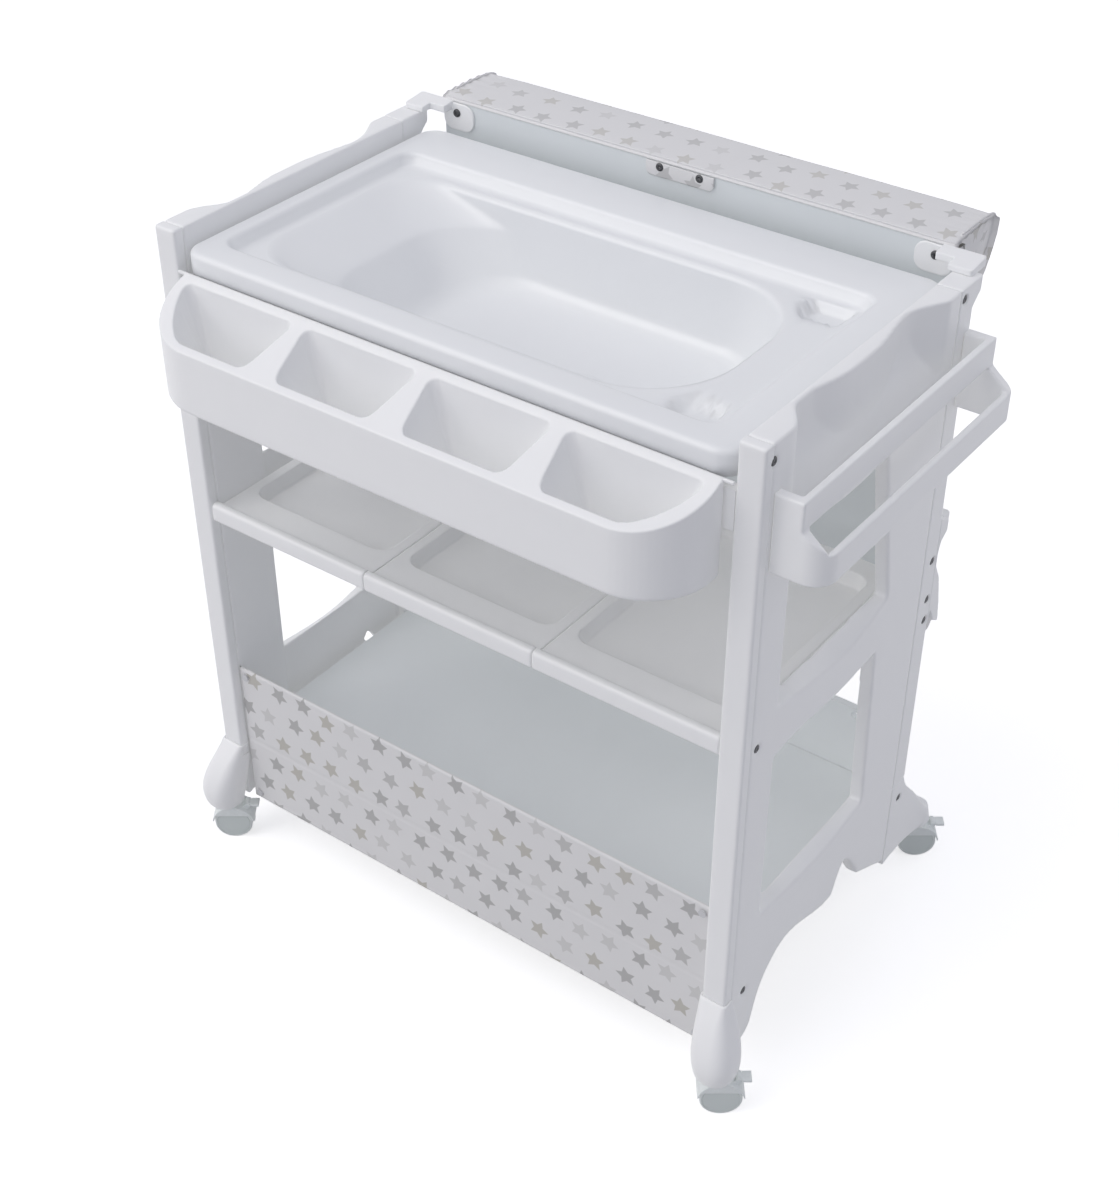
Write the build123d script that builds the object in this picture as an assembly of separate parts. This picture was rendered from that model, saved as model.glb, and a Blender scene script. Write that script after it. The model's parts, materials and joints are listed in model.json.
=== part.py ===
from build123d import *
import math
import os

# A wheeled baby changing table with a lift-out bathtub. Millimetres, +X to the right, +Y to the rear, +Z up.
# While it is drawn, x = 0 is midway between the side panels, y = 0 midway between the faces of the posts
# and z = 0 the floor. At the end everything moves so that the origin is under the middle of its footprint.

# Overall sizes
unit_width = 775.0
unit_depth = 410.0
panel_height = 887.0
half_width = unit_width / 2
half_depth = unit_depth / 2
seat_gap = 0.3
fit_gap = 0.15
overrun = 2.0

# Posts
post_width = 30.0
front_post_depth = 14.0
rear_post_depth = 30.0
post_rounding = 3.0
rear_nose_reach = 18.0
rear_nose_height = 15.0
rear_nose_slope = 17.0
peg_radius = 3.5
peg_length = 9.0

# Side panels
web_thickness = 17.0
inner_front_column = 81.0
inner_rear_column = 50.0
top_rail_height = 105.0
panel_foot_rise = 56.0
panel_arch_top = 155.0
panel_rear_tip = 84.0
opening_front = -140.0
upper_opening_drop = 138.0
upper_sill_rise = 25.0
upper_sill_drop = 26.0
lower_opening_drop = 48.0
lower_sill_rise = 74.0
lower_sill_drop = 15.0
opening_rear_top = 48.0
opening_rear = 88.0
opening_corner = 14.0
scoop_front = -160.0
scoop_rear = 150.0
scoop_depth = 22.0
scoop_height = 72.0
lip_height = 16.0
ledge_reach = 20.0
ledge_thickness = 13.0

# Guide plates on the rear posts, with two lobes that the hanging top rests on
guide_top = 592.0
guide_height = 162.0
guide_reach = 21.0
guide_hook_reach = 31.0
guide_waist = 5.0
guide_thickness = 12.0
guide_screw_inset = 8.0

# Feet
foot_height = 101.0
foot_bottom = 58.0
foot_outset = 15.0
foot_forward = 18.0
foot_bulge = 54.0
foot_base = 46.0
foot_collar = 2.5
post_socket_depth = 20.0
rear_foot_top = 207.0
rear_foot_reach = 92.0
rear_foot_inset = 5.0
rear_foot_base = 44.0
rear_foot_toe = 77.0
rear_foot_base_height = 24.0
stem_radius = 5.0
stem_bore_radius = 5.05
stem_length = 30.0

# Castors
wheel_radius = 25.0
wheel_width = 9.0
wheel_rounding = 2.0
wheel_gap = 8.0
wheel_cap_radius = 21.5
wheel_cap_groove = 0.8
axle_radius = 3.0
axle_bore_radius = 3.05
castor_web = 6.8
castor_trail = 8.0
castor_turn = -53.5
hood_clearance = 1.2
hood_wall = 2.0
hood_drop = 4.0
hood_cheek_gap = 0.6
hood_cheek = 1.4
hood_cheek_rise = 13.0
castor_neck_radius = 15.0
swivel_gap = 0.4
brake_pivot_reach = 32.2
brake_pivot_angle = 52.0
brake_pin_radius = 1.5
brake_bore_radius = 1.55
brake_barrel_radius = 3.6
brake_barrel_width = 10.0
brake_ear_width = 2.4
brake_lever_length = 15.0
brake_lever_width = 15.0
brake_lever_thickness = 4.0

# Bathtub
tub_width = 704.0
tub_front = -203.0
tub_rear = 221.0
tub_rim_drop = 20.0
tub_skirt = 22.0
tub_corner = 24.0
tub_edge_rounding = 6.0
tub_wall = 3.0
basin_left = -326.0
basin_right = 308.0
basin_front = -163.0
basin_rear = 146.0
basin_shelf_depth = 12.0
basin_corner = 26.0
deep_left = -312.0
deep_right = 262.0
deep_left_slope = 150.0
deep_right_slope = 24.0
deep_side_slope = 20.0
deep_inset = 4.0
tub_depth = 106.0
deep_left_corner = 34.0
deep_left_corner_growth = 26.0
deep_right_corner = 112.0
deep_level_shares = (0.0, 0.3, 0.66, 1.0)
head_end_shares = (0.0, 0.36, 0.74, 1.0)
soap_dish_length = 60.0
soap_dish_width = 52.0
soap_dish_depth = 8.0
soap_dish_margin = 5.0
drain_x = 60.0
drain_y = -40.0
drain_hole_radius = 20.0
drain_flange_radius = 27.0
drain_flange_thickness = 2.5
drain_throat_radius = 16.0
drain_body_depth = 14.0
spigot_radius = 9.0
spigot_bore_radius = 6.5
spigot_length = 26.0
plug_radius = 15.8
plug_height = 9.0
plug_cap_radius = 20.0
plug_cap_thickness = 3.0
plug_knob_radius = 5.0
plug_knob_height = 9.0

# Organiser tray at the front
organiser_width = 692.0
organiser_front = -292.0
organiser_drop = 23.0
organiser_slope = 37.0
organiser_height = 114.0
organiser_corner = 74.0
organiser_wall = 3.0
organiser_rim = 9.0
organiser_divider = 12.0
organiser_pockets = 4
hook_depth = 12.0
hook_thickness = 2.5

# Cross rails
cross_rail_thickness = 12.0
cross_rail_height = 45.0
cross_rail_drop = 35.0

# Middle shelf of separate trays
shelf_tray_count = 3
shelf_clearance = 234.0
shelf_front = -203.0
shelf_rear = 168.0
shelf_bead_depth = 13.0
shelf_bead_height = 25.0
shelf_bead_rise = 8.0
shelf_skin = 3.0
shelf_side_rim = 14.0
shelf_front_rim = 42.0
shelf_rear_rim = 28.0
shelf_recess_depth = 20.0
shelf_recess_corner = 18.0
shelf_rail_depth = 24.0
shelf_rail_height = 15.0
shelf_seam = 1.0

# Storage box at the bottom
floor_top = 177.0
floor_thickness = 12.0
front_panel_top = 283.0
front_panel_bottom = 63.0
front_panel_thickness = 5.0
front_panel_setback = 12.0
back_panel_top = 277.0
back_panel_bottom = 91.0
back_panel_thickness = 9.0
back_panel_overlap = 14.0
back_hole_radius = 5.0
back_hole_x = 311.0
stud_radius = 5.0
stud_height = 2.4
stud_inset = 12.0

# Towel rail on the right side
towel_front = -187.0
towel_rear = 203.0
towel_drop = 54.0
towel_upper_reach = 33.0
towel_lower_reach = 60.0
towel_bar_thickness = 8.0
towel_upper_height = 32.0
towel_lower_height = 35.0
towel_lower_drop = 89.0
towel_end_thickness = 12.0
towel_front_corner = 26.0
towel_rear_corner = 9.0

# Changing top, hung behind
changer_side_gap = 12.5
changer_rear_gap = 36.0
changer_rise = 18.0
changer_height = 548.0
board_thickness = 15.0
board_top_cover = 9.0
pad_base_thickness = 30.0
pad_top_thickness = 84.0
pad_bottom_thickness = 59.0
pad_bolster_height = 74.0
pad_rounding = 9.0
pad_overhang = 3.0
tab_width = 92.0
tab_height = 26.0
tab_thickness = 1.8
bracket_plate_width = 46.0
bracket_plate_height = 34.0
bracket_plate_thickness = 3.0
bracket_corner_share = 0.4
hanger_tongue_width = 14.0
hanger_tongue_thickness = 7.0
hanger_tongue_rise = 11.0
hanger_tongue_inset = 6.5
stay_arm_height = 18.0

# Screws
screw_head_radius = 5.0
screw_head_height = 2.6
screw_shank_radius = 2.0
screw_hole_radius = 2.1
screw_length = 18.0
counterbore_radius = 6.2
counterbore_depth = 3.2
changer_screw_inset = 21.0
tab_screw_spacing = 54.0

# Outlines, as shares of the named sizes that they follow
arch_shares = [(0.085, 0.40), (0.131, 0.465), (0.15, 0.58), (0.178, 0.755), (0.243, 0.93), (0.30, 1.0),
               (0.445, 0.955), (0.626, 0.877)]
notch_shares = [(0.66, 1.05), (0.69, 1.14), (0.73, 1.05), (0.80, 0.78)]
rear_sweep_shares = [(0.08, 0.86), (0.33, 0.64), (0.79, 0.2), (1.0, 0.02)]
lip_wave_shares = [(0.0, 0.0), (0.07, 0.35), (0.13, 0.93), (0.24, 1.0), (0.36, 0.62), (0.48, 0.5), (0.6, 0.55),
                   (0.74, 0.86), (0.86, 0.95), (0.95, 0.4), (1.0, 0.0)]
upper_sag_shares = [(0.0, 0.0), (0.18, 0.5), (0.38, 0.78), (0.6, 1.0), (0.8, 0.68), (1.0, 0.0)]
lower_sag_shares = [(0.0, 0.0), (0.22, 0.55), (0.45, 0.95), (0.66, 0.98), (0.85, 0.45), (1.0, 0.0)]
opening_top_shares = [(0.0, 0.0), (0.3, 0.25), (0.55, 0.0), (0.8, 0.05), (1.0, 0.3)]

# Places worked out from the sizes above
inner_face = half_width - post_width
web_face = half_width - web_thickness
panel_front = -half_depth + front_post_depth
panel_rear = half_depth - rear_post_depth
axle_height = wheel_radius
front_foot_x = half_width - post_width / 2 + foot_outset
front_foot_y = -half_depth + front_post_depth / 2 - foot_forward
rear_foot_x = half_width - post_width / 2 - rear_foot_inset
rear_foot_y = half_depth + rear_foot_reach
castor_places = {
    "front_left": (-front_foot_x, front_foot_y),
    "front_right": (front_foot_x, front_foot_y),
    "rear_left": (-rear_foot_x, rear_foot_y),
    "rear_right": (rear_foot_x, rear_foot_y),
}
wheel_inner_face = wheel_gap / 2
wheel_outer_face = wheel_inner_face + wheel_width
hood_inner_radius = wheel_radius + hood_clearance
hood_outer_radius = hood_inner_radius + hood_wall
brake_pivot_y = castor_trail + brake_pivot_reach * math.cos(math.radians(brake_pivot_angle))
brake_pivot_z = axle_height + brake_pivot_reach * math.sin(math.radians(brake_pivot_angle))
front_panel_face = -half_depth + front_panel_setback
tub_rim_top = panel_height - tub_rim_drop
tub_rim_bottom = tub_rim_top - tub_skirt
basin_shelf_z = tub_rim_top - basin_shelf_depth
deep_floor_z = tub_rim_top - tub_depth
organiser_top_rear = tub_rim_top - organiser_drop
organiser_top_front = organiser_top_rear - organiser_slope
organiser_bottom = organiser_top_rear - organiser_height
cross_rail_top = tub_rim_top - cross_rail_drop
shelf_top = deep_floor_z - shelf_clearance
upper_opening_top = panel_height - upper_opening_drop
upper_opening_sill = shelf_top + upper_sill_rise
lower_opening_top = shelf_top - lower_opening_drop
lower_opening_sill = floor_top + lower_sill_rise
towel_top = panel_height - towel_drop
changer_half_length = inner_face - changer_side_gap
changer_front = half_depth + changer_rear_gap
changer_top = panel_height + changer_rise
changer_bottom = changer_top - changer_height
hanger_tongue_end = half_width - hanger_tongue_inset
tray_pitch = (2 * inner_face - 2 * seat_gap) / shelf_tray_count
side_screw_places = [
    (panel_front + post_rounding, tub_rim_top),
    (panel_front + front_post_depth, shelf_top - shelf_skin * 3),
    (panel_front + 2 * front_post_depth, floor_top - post_width),
    (half_depth - post_width * 2 / 3, panel_height - front_post_depth),
    (half_depth - guide_screw_inset, guide_top - guide_height / 3),
    (half_depth - guide_screw_inset, guide_top - guide_height * 2 / 3),
    (half_depth - guide_screw_inset, guide_top - guide_height * 0.85),
    (half_depth - guide_screw_inset, rear_foot_top - post_width),
]
hanger_x = hanger_tongue_end - peg_radius * 2
hanger_peg_y = half_depth + rear_nose_reach / 2
stay_z = guide_top - guide_height * 0.12


def block(x0, x1, y0, y1, z0, z1):
    """A box between two corners."""
    return Pos((x0 + x1) / 2, (y0 + y1) / 2, (z0 + z1) / 2) * Box(x1 - x0, y1 - y0, z1 - z0)


def rod(radius, x, y, z0, z1):
    """An upright cylinder."""
    return Pos(x, y, (z0 + z1) / 2) * Cylinder(radius, z1 - z0)


def rod_x(radius, x0, x1, y, z):
    """A cylinder along X."""
    return Pos((x0 + x1) / 2, y, z) * Rot(0, 90, 0) * Cylinder(radius, x1 - x0)


def rod_y(radius, x, y0, y1, z):
    """A cylinder along Y."""
    return Pos(x, (y0 + y1) / 2, z) * Rot(90, 0, 0) * Cylinder(radius, y1 - y0)


def left_of(shape):
    """The left-hand copy of a right-hand piece."""
    return mirror(shape, about=Plane.YZ)


def side_face(edges, x):
    """A face in a plane across X, from edges drawn as (y, z)."""
    plane = Plane(origin=(x, 0, 0), x_dir=(0, 1, 0), z_dir=(1, 0, 0))
    return plane * make_face(edges)


def rounded_section(width, depth, corner, x, y, z):
    """A level rounded rectangle."""
    return Pos(x, y, z) * RectangleRounded(width, depth, corner)


def rounded_block(width, depth, height, corner, x, y, z0):
    """An upright block with rounded corners."""
    return extrude(rounded_section(width, depth, corner, x, y, z0), height)


# Side panels

def opening_edges(top, sill, drop, rear_top, sag_shares):
    """The outline of one opening as (y, z): front edge, top, rear edge and a sagging sill."""
    top_line = [(opening_front + share * (rear_top - opening_front), top + rise * opening_corner)
                for share, rise in opening_top_shares]
    sill_line = [(opening_front + share * (opening_rear - opening_front), sill - sag * drop)
                 for share, sag in sag_shares]
    return [
        Line(sill_line[0], top_line[0]),
        Spline(*top_line),
        Line(top_line[-1], sill_line[-1]),
        Spline(*reversed(sill_line)),
    ]


def opening_cut(top, sill, drop, rear_top, sag_shares):
    """The space cut out of a panel: level at the inner face and sagging at the outer face."""
    inner = side_face(opening_edges(top, sill, 0, rear_top, sag_shares), web_face - overrun)
    outer = side_face(opening_edges(top, sill, drop, rear_top, sag_shares), half_width + overrun)
    return loft([inner, outer], ruled=True)


def panel_outline():
    """The panel seen from the side, with its arched lower edge."""
    length = panel_rear - panel_front
    start = (panel_front, panel_foot_rise)
    arch = [(panel_front + share * length, rise * panel_arch_top) for share, rise in arch_shares]
    notch = [(panel_front + share * length, rise * panel_arch_top) for share, rise in notch_shares]
    return [
        Line(start, arch[0]),
        Spline(*arch),
        Polyline(arch[-1], *notch, (panel_rear, panel_rear_tip)),
        Polyline((panel_rear, panel_rear_tip), (panel_rear, panel_height), (panel_front, panel_height), start),
    ]


def scoop_cut():
    """The hollow under the wavy lip: upright at the lip, then sweeping out to the panel's face."""
    length = scoop_rear - scoop_front
    wave = [(half_width - share * scoop_depth, scoop_front + along * length) for along, share in lip_wave_shares]
    outside = half_width + overrun
    plan = make_face([
        Spline(*wave),
        Polyline(wave[-1], (outside, wave[-1][1]), (outside, wave[0][1]), wave[0]),
    ])
    column = Pos(0, 0, panel_height - lip_height - scoop_height) * extrude(plan, lip_height + scoop_height + overrun)
    sweep_radius = (scoop_height ** 2 + scoop_depth ** 2) / (2 * scoop_depth)
    sweep_z = panel_height - lip_height
    hollow = rod_y(sweep_radius, half_width - scoop_depth + sweep_radius, scoop_front, scoop_rear, sweep_z)
    above = block(half_width - scoop_depth, half_width + sweep_radius, scoop_front, scoop_rear,
                  sweep_z, panel_height + overrun)
    return column & (hollow + above)


def side_panel():
    """The right-hand panel: a web with two openings, stiffened inside, with ledges for tub and floor."""
    web = extrude(side_face(panel_outline(), web_face), web_thickness)
    top_rail = block(inner_face, web_face + fit_gap, panel_front, panel_rear, panel_height - top_rail_height,
                     panel_height)
    low = panel_arch_top + post_rounding
    front_column = block(inner_face, web_face + fit_gap, panel_front, panel_front + inner_front_column,
                         low, panel_height)
    rear_column = block(inner_face, web_face + fit_gap, panel_rear - inner_rear_column, panel_rear, low, panel_height)
    floor_ledge = block(inner_face - ledge_reach, web_face + fit_gap, panel_front + inner_front_column,
                        panel_rear - inner_rear_column, floor_top - floor_thickness - ledge_thickness,
                        floor_top - floor_thickness - seat_gap)
    tub_ledge = block(inner_face - ledge_reach, inner_face + fit_gap, panel_front + cross_rail_thickness,
                      panel_rear, tub_rim_bottom - ledge_thickness, tub_rim_bottom - seat_gap)
    panel = web + top_rail + front_column + rear_column
    panel -= opening_cut(upper_opening_top, upper_opening_sill, upper_sill_drop, opening_rear_top, upper_sag_shares)
    panel -= opening_cut(lower_opening_top, lower_opening_sill, lower_sill_drop,
                         opening_rear - opening_corner, lower_sag_shares)
    panel -= scoop_cut()
    panel += floor_ledge + tub_ledge
    return panel - side_screw_holes()


# Posts, cross rails and feet

def front_post():
    """The strip that faces each side panel's front edge, standing in its foot."""
    bottom = foot_bottom + foot_height - post_socket_depth + seat_gap
    post = block(inner_face, half_width, -half_depth, panel_front - seat_gap, bottom, panel_height)
    front_edges = post.edges().filter_by(Axis.Z).group_by(Axis.Y)[0]
    top_edges = post.faces().sort_by(Axis.Z)[-1].edges().group_by(Axis.Y)[0]
    return fillet(front_edges + top_edges, post_rounding)


def rear_post():
    """The rear post, with a nose at its top that the changing top hangs from."""
    top = panel_height
    nose = Polyline(
        (panel_rear + seat_gap, rear_foot_top + seat_gap),
        (half_depth, rear_foot_top + seat_gap),
        (half_depth, top - rear_nose_height - rear_nose_slope),
        (half_depth + rear_nose_reach, top - rear_nose_height),
        (half_depth + rear_nose_reach, top),
        (panel_rear + seat_gap, top),
        close=True,
    )
    post = extrude(side_face(nose, inner_face), post_width)
    post = fillet(post.edges().filter_by(Axis.Z).group_by(Axis.Y)[-1], post_rounding)
    post -= rod(peg_radius + fit_gap, hanger_x, hanger_peg_y, top - peg_length - seat_gap, top + overrun)
    return post - side_screw_holes()


def guide_plate():
    """The plate behind the rear post that steadies the hanging top: two lobes, the lower one a hook."""
    low = guide_top - guide_height
    outline = [
        (half_depth + seat_gap, guide_top),
        (half_depth + guide_reach, guide_top - guide_height * 0.07),
        (half_depth + guide_reach, guide_top - guide_height * 0.17),
        (half_depth + guide_waist * 1.8, guide_top - guide_height * 0.22),
        (half_depth + guide_waist, guide_top - guide_height * 0.30),
        (half_depth + guide_waist, guide_top - guide_height * 0.42),
        (half_depth + guide_reach * 0.8, guide_top - guide_height * 0.55),
        (half_depth + guide_hook_reach * 0.85, guide_top - guide_height * 0.8),
        (half_depth + guide_hook_reach, low),
        (half_depth + guide_reach * 0.75, low + guide_height * 0.06),
        (half_depth + guide_waist, low + guide_height * 0.2),
        (half_depth + seat_gap, low + guide_height * 0.05),
    ]
    plate = extrude(side_face(Polyline(*outline, close=True), half_width - guide_thickness), guide_thickness)
    lobes = plate.edges().filter_by(Axis.X).sort_by(Axis.Y)[-4:]
    return fillet(lobes, guide_waist * 0.5)


def cross_rail(front_face):
    """A rail between the posts, under the rim of the tub."""
    return block(-inner_face + seat_gap, inner_face - seat_gap, front_face, front_face + cross_rail_thickness,
                 cross_rail_top - cross_rail_height, cross_rail_top)


def front_foot():
    """The swollen foot that holds the front post in its top and a castor in its base."""
    post_x = half_width - post_width / 2
    post_y = -half_depth + front_post_depth / 2
    top = foot_bottom + foot_height
    mid_x = (post_x + front_foot_x) / 2
    mid_y = (post_y + front_foot_y) / 2
    collar = 2 * foot_collar
    mid = (foot_bulge + post_width + collar) / 2
    sections = [
        rounded_section(foot_base, foot_base, foot_base * 0.45, front_foot_x, front_foot_y, foot_bottom),
        rounded_section(foot_bulge, foot_bulge, foot_bulge * 0.42, front_foot_x, front_foot_y,
                        foot_bottom + foot_height * 0.26),
        rounded_section(mid, mid, mid * 0.34, mid_x, mid_y, foot_bottom + foot_height * 0.66),
        rounded_section(post_width + collar, front_post_depth + collar, post_rounding + foot_collar / 2,
                        post_x, post_y, top),
    ]
    foot = loft(sections)
    foot -= block(inner_face - foot_bulge, half_width + foot_bulge, panel_front - fit_gap, foot_bulge - half_depth,
                  panel_foot_rise - seat_gap, top + overrun)
    foot -= block(inner_face - fit_gap, half_width + fit_gap, -half_depth - fit_gap, panel_front + fit_gap,
                  top - post_socket_depth, top + overrun)
    foot -= block(inner_face - foot_bulge, inner_face - fit_gap, front_panel_face - seat_gap, foot_bulge - half_depth,
                  foot_bottom - overrun, top + overrun)
    return foot - stem_bore(front_foot_x, front_foot_y)


def rear_foot():
    """The foot that sweeps back from the rear post to its castor."""
    low = foot_bottom + rear_foot_base_height
    front = panel_rear + seat_gap
    rise = rear_foot_top - low
    sweep = [(half_depth + along * rear_foot_reach, low + up * rise) for along, up in rear_sweep_shares]
    under = foot_bottom + rear_foot_base_height / 3
    profile = [
        Polyline((front, rear_foot_toe), (front, rear_foot_top), (half_depth, rear_foot_top)),
        Spline((half_depth, rear_foot_top), *sweep),
        Line(sweep[-1], (rear_foot_y, under)),
        Line((rear_foot_y, under), (rear_foot_y - rear_foot_base / 2, under)),
        Spline((rear_foot_y - rear_foot_base / 2, under), (half_depth + rear_foot_reach / 3, rear_foot_toe),
               (front, rear_foot_toe)),
    ]
    arm = extrude(side_face(profile, inner_face), post_width)
    socket = loft([
        rounded_section(rear_foot_base, rear_foot_base, rear_foot_base * 0.45, rear_foot_x, rear_foot_y, foot_bottom),
        rounded_section(rear_foot_base * 0.8, rear_foot_base * 0.8, rear_foot_base * 0.35, rear_foot_x, rear_foot_y,
                        low),
    ])
    foot = arm + socket
    return foot - stem_bore(rear_foot_x, rear_foot_y) - side_screw_holes()


def stem_bore(x, y):
    """The blind hole in a foot for its castor's stem."""
    return rod(stem_bore_radius, x, y, foot_bottom - overrun, foot_bottom + stem_length + seat_gap)


# Castors, drawn with the axle along X, the trail along +Y and the swivel axis on Z

def place_castor(shape, corner):
    """Turn a castor piece to its rest direction and set it under its foot."""
    x, y = castor_places[corner]
    return Pos(x, y, 0) * Rot(0, 0, castor_turn) * shape


def castor_body():
    """The hood, the web between the wheels, the swivel neck and the stem."""
    width = 2 * (wheel_outer_face + hood_cheek_gap + hood_cheek)
    hood = rod_x(hood_outer_radius, -width / 2, width / 2, castor_trail, axle_height)
    inside = width / 2 - hood_cheek
    hood -= rod_x(hood_inner_radius, -inside, inside, castor_trail, axle_height)
    hood -= block(-width, width, castor_trail - 2 * wheel_radius, castor_trail + 2 * wheel_radius,
                  -wheel_radius, axle_height + hood_cheek_rise)
    skirt = rod_x(hood_outer_radius, -width / 2, width / 2, castor_trail, axle_height)
    skirt -= rod_x(hood_inner_radius, -width, width, castor_trail, axle_height)
    skirt -= block(-width, width, castor_trail - 2 * wheel_radius, castor_trail + 2 * wheel_radius,
                   -wheel_radius, axle_height + hood_drop)
    hood += skirt
    web = rod_x(hood_inner_radius + hood_wall / 2, -castor_web / 2, castor_web / 2, castor_trail, axle_height)
    web -= block(-width, width, castor_trail - 2 * wheel_radius, castor_trail + 2 * wheel_radius,
                 -wheel_radius, axle_height - 2 * axle_radius)
    neck = rod(castor_neck_radius, 0, 0, axle_height + hood_inner_radius, foot_bottom - swivel_gap)
    neck += rod(castor_neck_radius, 0, 0, axle_height, foot_bottom - swivel_gap) - rod_x(
        hood_inner_radius, -width, width, castor_trail, axle_height)
    stem = rod(stem_radius, 0, 0, foot_bottom - overrun, foot_bottom + stem_length)
    ears = Part()
    for side in (-1, 1):
        ear_x = side * (brake_barrel_width + brake_ear_width) / 2 + side * fit_gap
        ear = rod_x(brake_barrel_radius, ear_x - brake_ear_width / 2, ear_x + brake_ear_width / 2,
                    brake_pivot_y, brake_pivot_z)
        root = Pos(ear_x, (brake_pivot_y + castor_trail) / 2, (brake_pivot_z + axle_height) / 2) * Rot(
            brake_pivot_angle, 0, 0) * Box(
            brake_ear_width, brake_pivot_reach, 2 * brake_barrel_radius)
        root -= rod_x(hood_inner_radius + hood_wall / 2, -width, width, castor_trail, axle_height)
        ears += ear + root
    pin_end = brake_barrel_width / 2 + brake_ear_width
    pin = rod_x(brake_pin_radius, -pin_end, pin_end, brake_pivot_y, brake_pivot_z)
    body = hood + web + neck + stem + ears + pin
    return body - rod_x(axle_radius, -castor_web, castor_web, castor_trail, axle_height)


def castor_axle():
    """The axle, pressed through the web."""
    reach = wheel_outer_face - wheel_cap_groove - seat_gap
    return rod_x(axle_radius, -reach, reach, castor_trail, axle_height)


def castor_wheel(side):
    """One of a castor's two wheels, with a rounded tread and a capped outer face."""
    wheel = rod_x(wheel_radius, wheel_inner_face, wheel_outer_face, castor_trail, axle_height)
    wheel = fillet(wheel.edges().filter_by(GeomType.CIRCLE), wheel_rounding)
    groove = rod_x(wheel_cap_radius + wheel_cap_groove, wheel_outer_face - wheel_cap_groove,
                   wheel_outer_face + overrun, castor_trail, axle_height)
    groove -= rod_x(wheel_cap_radius, wheel_inner_face, wheel_outer_face + overrun, castor_trail, axle_height)
    wheel -= groove
    wheel -= rod_x(axle_bore_radius, 0, wheel_outer_face - wheel_cap_groove, castor_trail, axle_height)
    return wheel if side > 0 else left_of(wheel)


def brake_lever():
    """The pedal that is pressed down to lock a castor."""
    barrel = rod_x(brake_barrel_radius, -brake_barrel_width / 2, brake_barrel_width / 2, brake_pivot_y, brake_pivot_z)
    tip = brake_pivot_y + brake_lever_length
    pedal = block(-brake_barrel_width / 2, brake_barrel_width / 2, brake_pivot_y, tip,
                  brake_pivot_z - brake_lever_thickness / 2, brake_pivot_z + brake_lever_thickness / 2)
    wide_start = brake_pivot_y + brake_barrel_radius + fit_gap * 2
    pedal += block(-brake_lever_width / 2, brake_lever_width / 2, wide_start, tip,
                   brake_pivot_z - brake_lever_thickness / 2, brake_pivot_z + brake_lever_thickness / 2)
    lever = barrel + pedal
    return lever - rod_x(brake_bore_radius, -brake_lever_width, brake_lever_width, brake_pivot_y, brake_pivot_z)


# Bathtub

def basin_section(x0, x1, y0, y1, left_corner, right_corner, grow, z):
    """A level section of the basin, with one corner radius at the head end and one at the foot end."""
    outline = Pos((x0 + x1) / 2, (y0 + y1) / 2) * Rectangle(x1 - x0 + 2 * grow, y1 - y0 + 2 * grow)
    outline = fillet(outline.vertices().group_by(Axis.X)[0], left_corner + grow)
    outline = fillet(outline.vertices().group_by(Axis.X)[-1], right_corner + grow)
    return Pos(0, 0, z) * outline


def shelf_section(inset, grow, z):
    """A section of the shallow shelf around the well."""
    return basin_section(basin_left + inset, basin_right - inset, basin_front + inset, basin_rear - inset,
                         basin_corner, basin_corner, grow, z)


def well_section(depth_share, head_share, grow, z):
    """A section of the deep well, whose sides come in with the depth and whose head end slopes gently at first."""
    side = deep_inset + basin_shelf_depth / 2 + deep_side_slope * depth_share
    return basin_section(deep_left + deep_left_slope * head_share, deep_right - deep_right_slope * depth_share,
                         basin_front + side, basin_rear - side,
                         deep_left_corner + deep_left_corner_growth * head_share,
                         deep_right_corner - deep_right_slope * depth_share, grow, z)


def basin_form(grow):
    """The hollow of the tub, or its outer skin where it grows by the wall: a shallow shelf and a deep well."""
    shelf = loft([
        shelf_section(0, grow, tub_rim_top),
        shelf_section(basin_shelf_depth / 2, grow, basin_shelf_z - grow),
    ])
    well_depth = basin_shelf_z + fit_gap - deep_floor_z
    levels = [well_section(depth_share, head_share, grow, basin_shelf_z + fit_gap - grow - well_depth * depth_share)
              for depth_share, head_share in zip(deep_level_shares, head_end_shares)]
    well = loft(levels, ruled=True)
    return shelf + well


def soap_dish_form(grow, z0, z1):
    """The corner of the foot end outside the well, where a soap dish is sunk; the rear one mirrors the front."""
    inset = basin_shelf_depth / 2 + soap_dish_margin - grow
    corner_x = basin_right - inset
    well = extrude(well_section(0, 0, soap_dish_margin - grow, z0 - overrun), z1 - z0 + 2 * overrun)
    form = Part()
    for edge, sign in ((basin_front + inset, 1), (basin_rear - inset, -1)):
        y0, y1 = sorted((edge, edge + sign * (soap_dish_width + 2 * grow)))
        form += block(corner_x - soap_dish_length - 2 * grow, corner_x, y0, y1, z0, z1)
    return form - well


def tub():
    """The lift-out bathtub: a turned-down rim, a shelf all round, soap dishes and the deep well."""
    depth = tub_rear - tub_front
    mid_y = (tub_rear + tub_front) / 2
    rim = rounded_block(tub_width, depth, tub_skirt, tub_corner, 0, mid_y, tub_rim_bottom)
    rim = fillet(rim.faces().sort_by(Axis.Z)[-1].edges(), tub_edge_rounding)
    rim -= rounded_block(tub_width - 2 * tub_wall, depth - 2 * tub_wall, tub_skirt - tub_wall,
                         tub_corner - tub_wall, 0, mid_y, tub_rim_bottom)
    dish_floor = basin_shelf_z - soap_dish_depth
    shell = rim + basin_form(tub_wall) + soap_dish_form(tub_wall, dish_floor - tub_wall, basin_shelf_z)
    shell -= extrude(shelf_section(0, 0, tub_rim_top), overrun)
    shell -= basin_form(0)
    shell -= soap_dish_form(0, dish_floor, basin_shelf_z + overrun)
    return shell - rod(drain_hole_radius, drain_x, drain_y, deep_floor_z - 2 * tub_wall, deep_floor_z + overrun)


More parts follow.
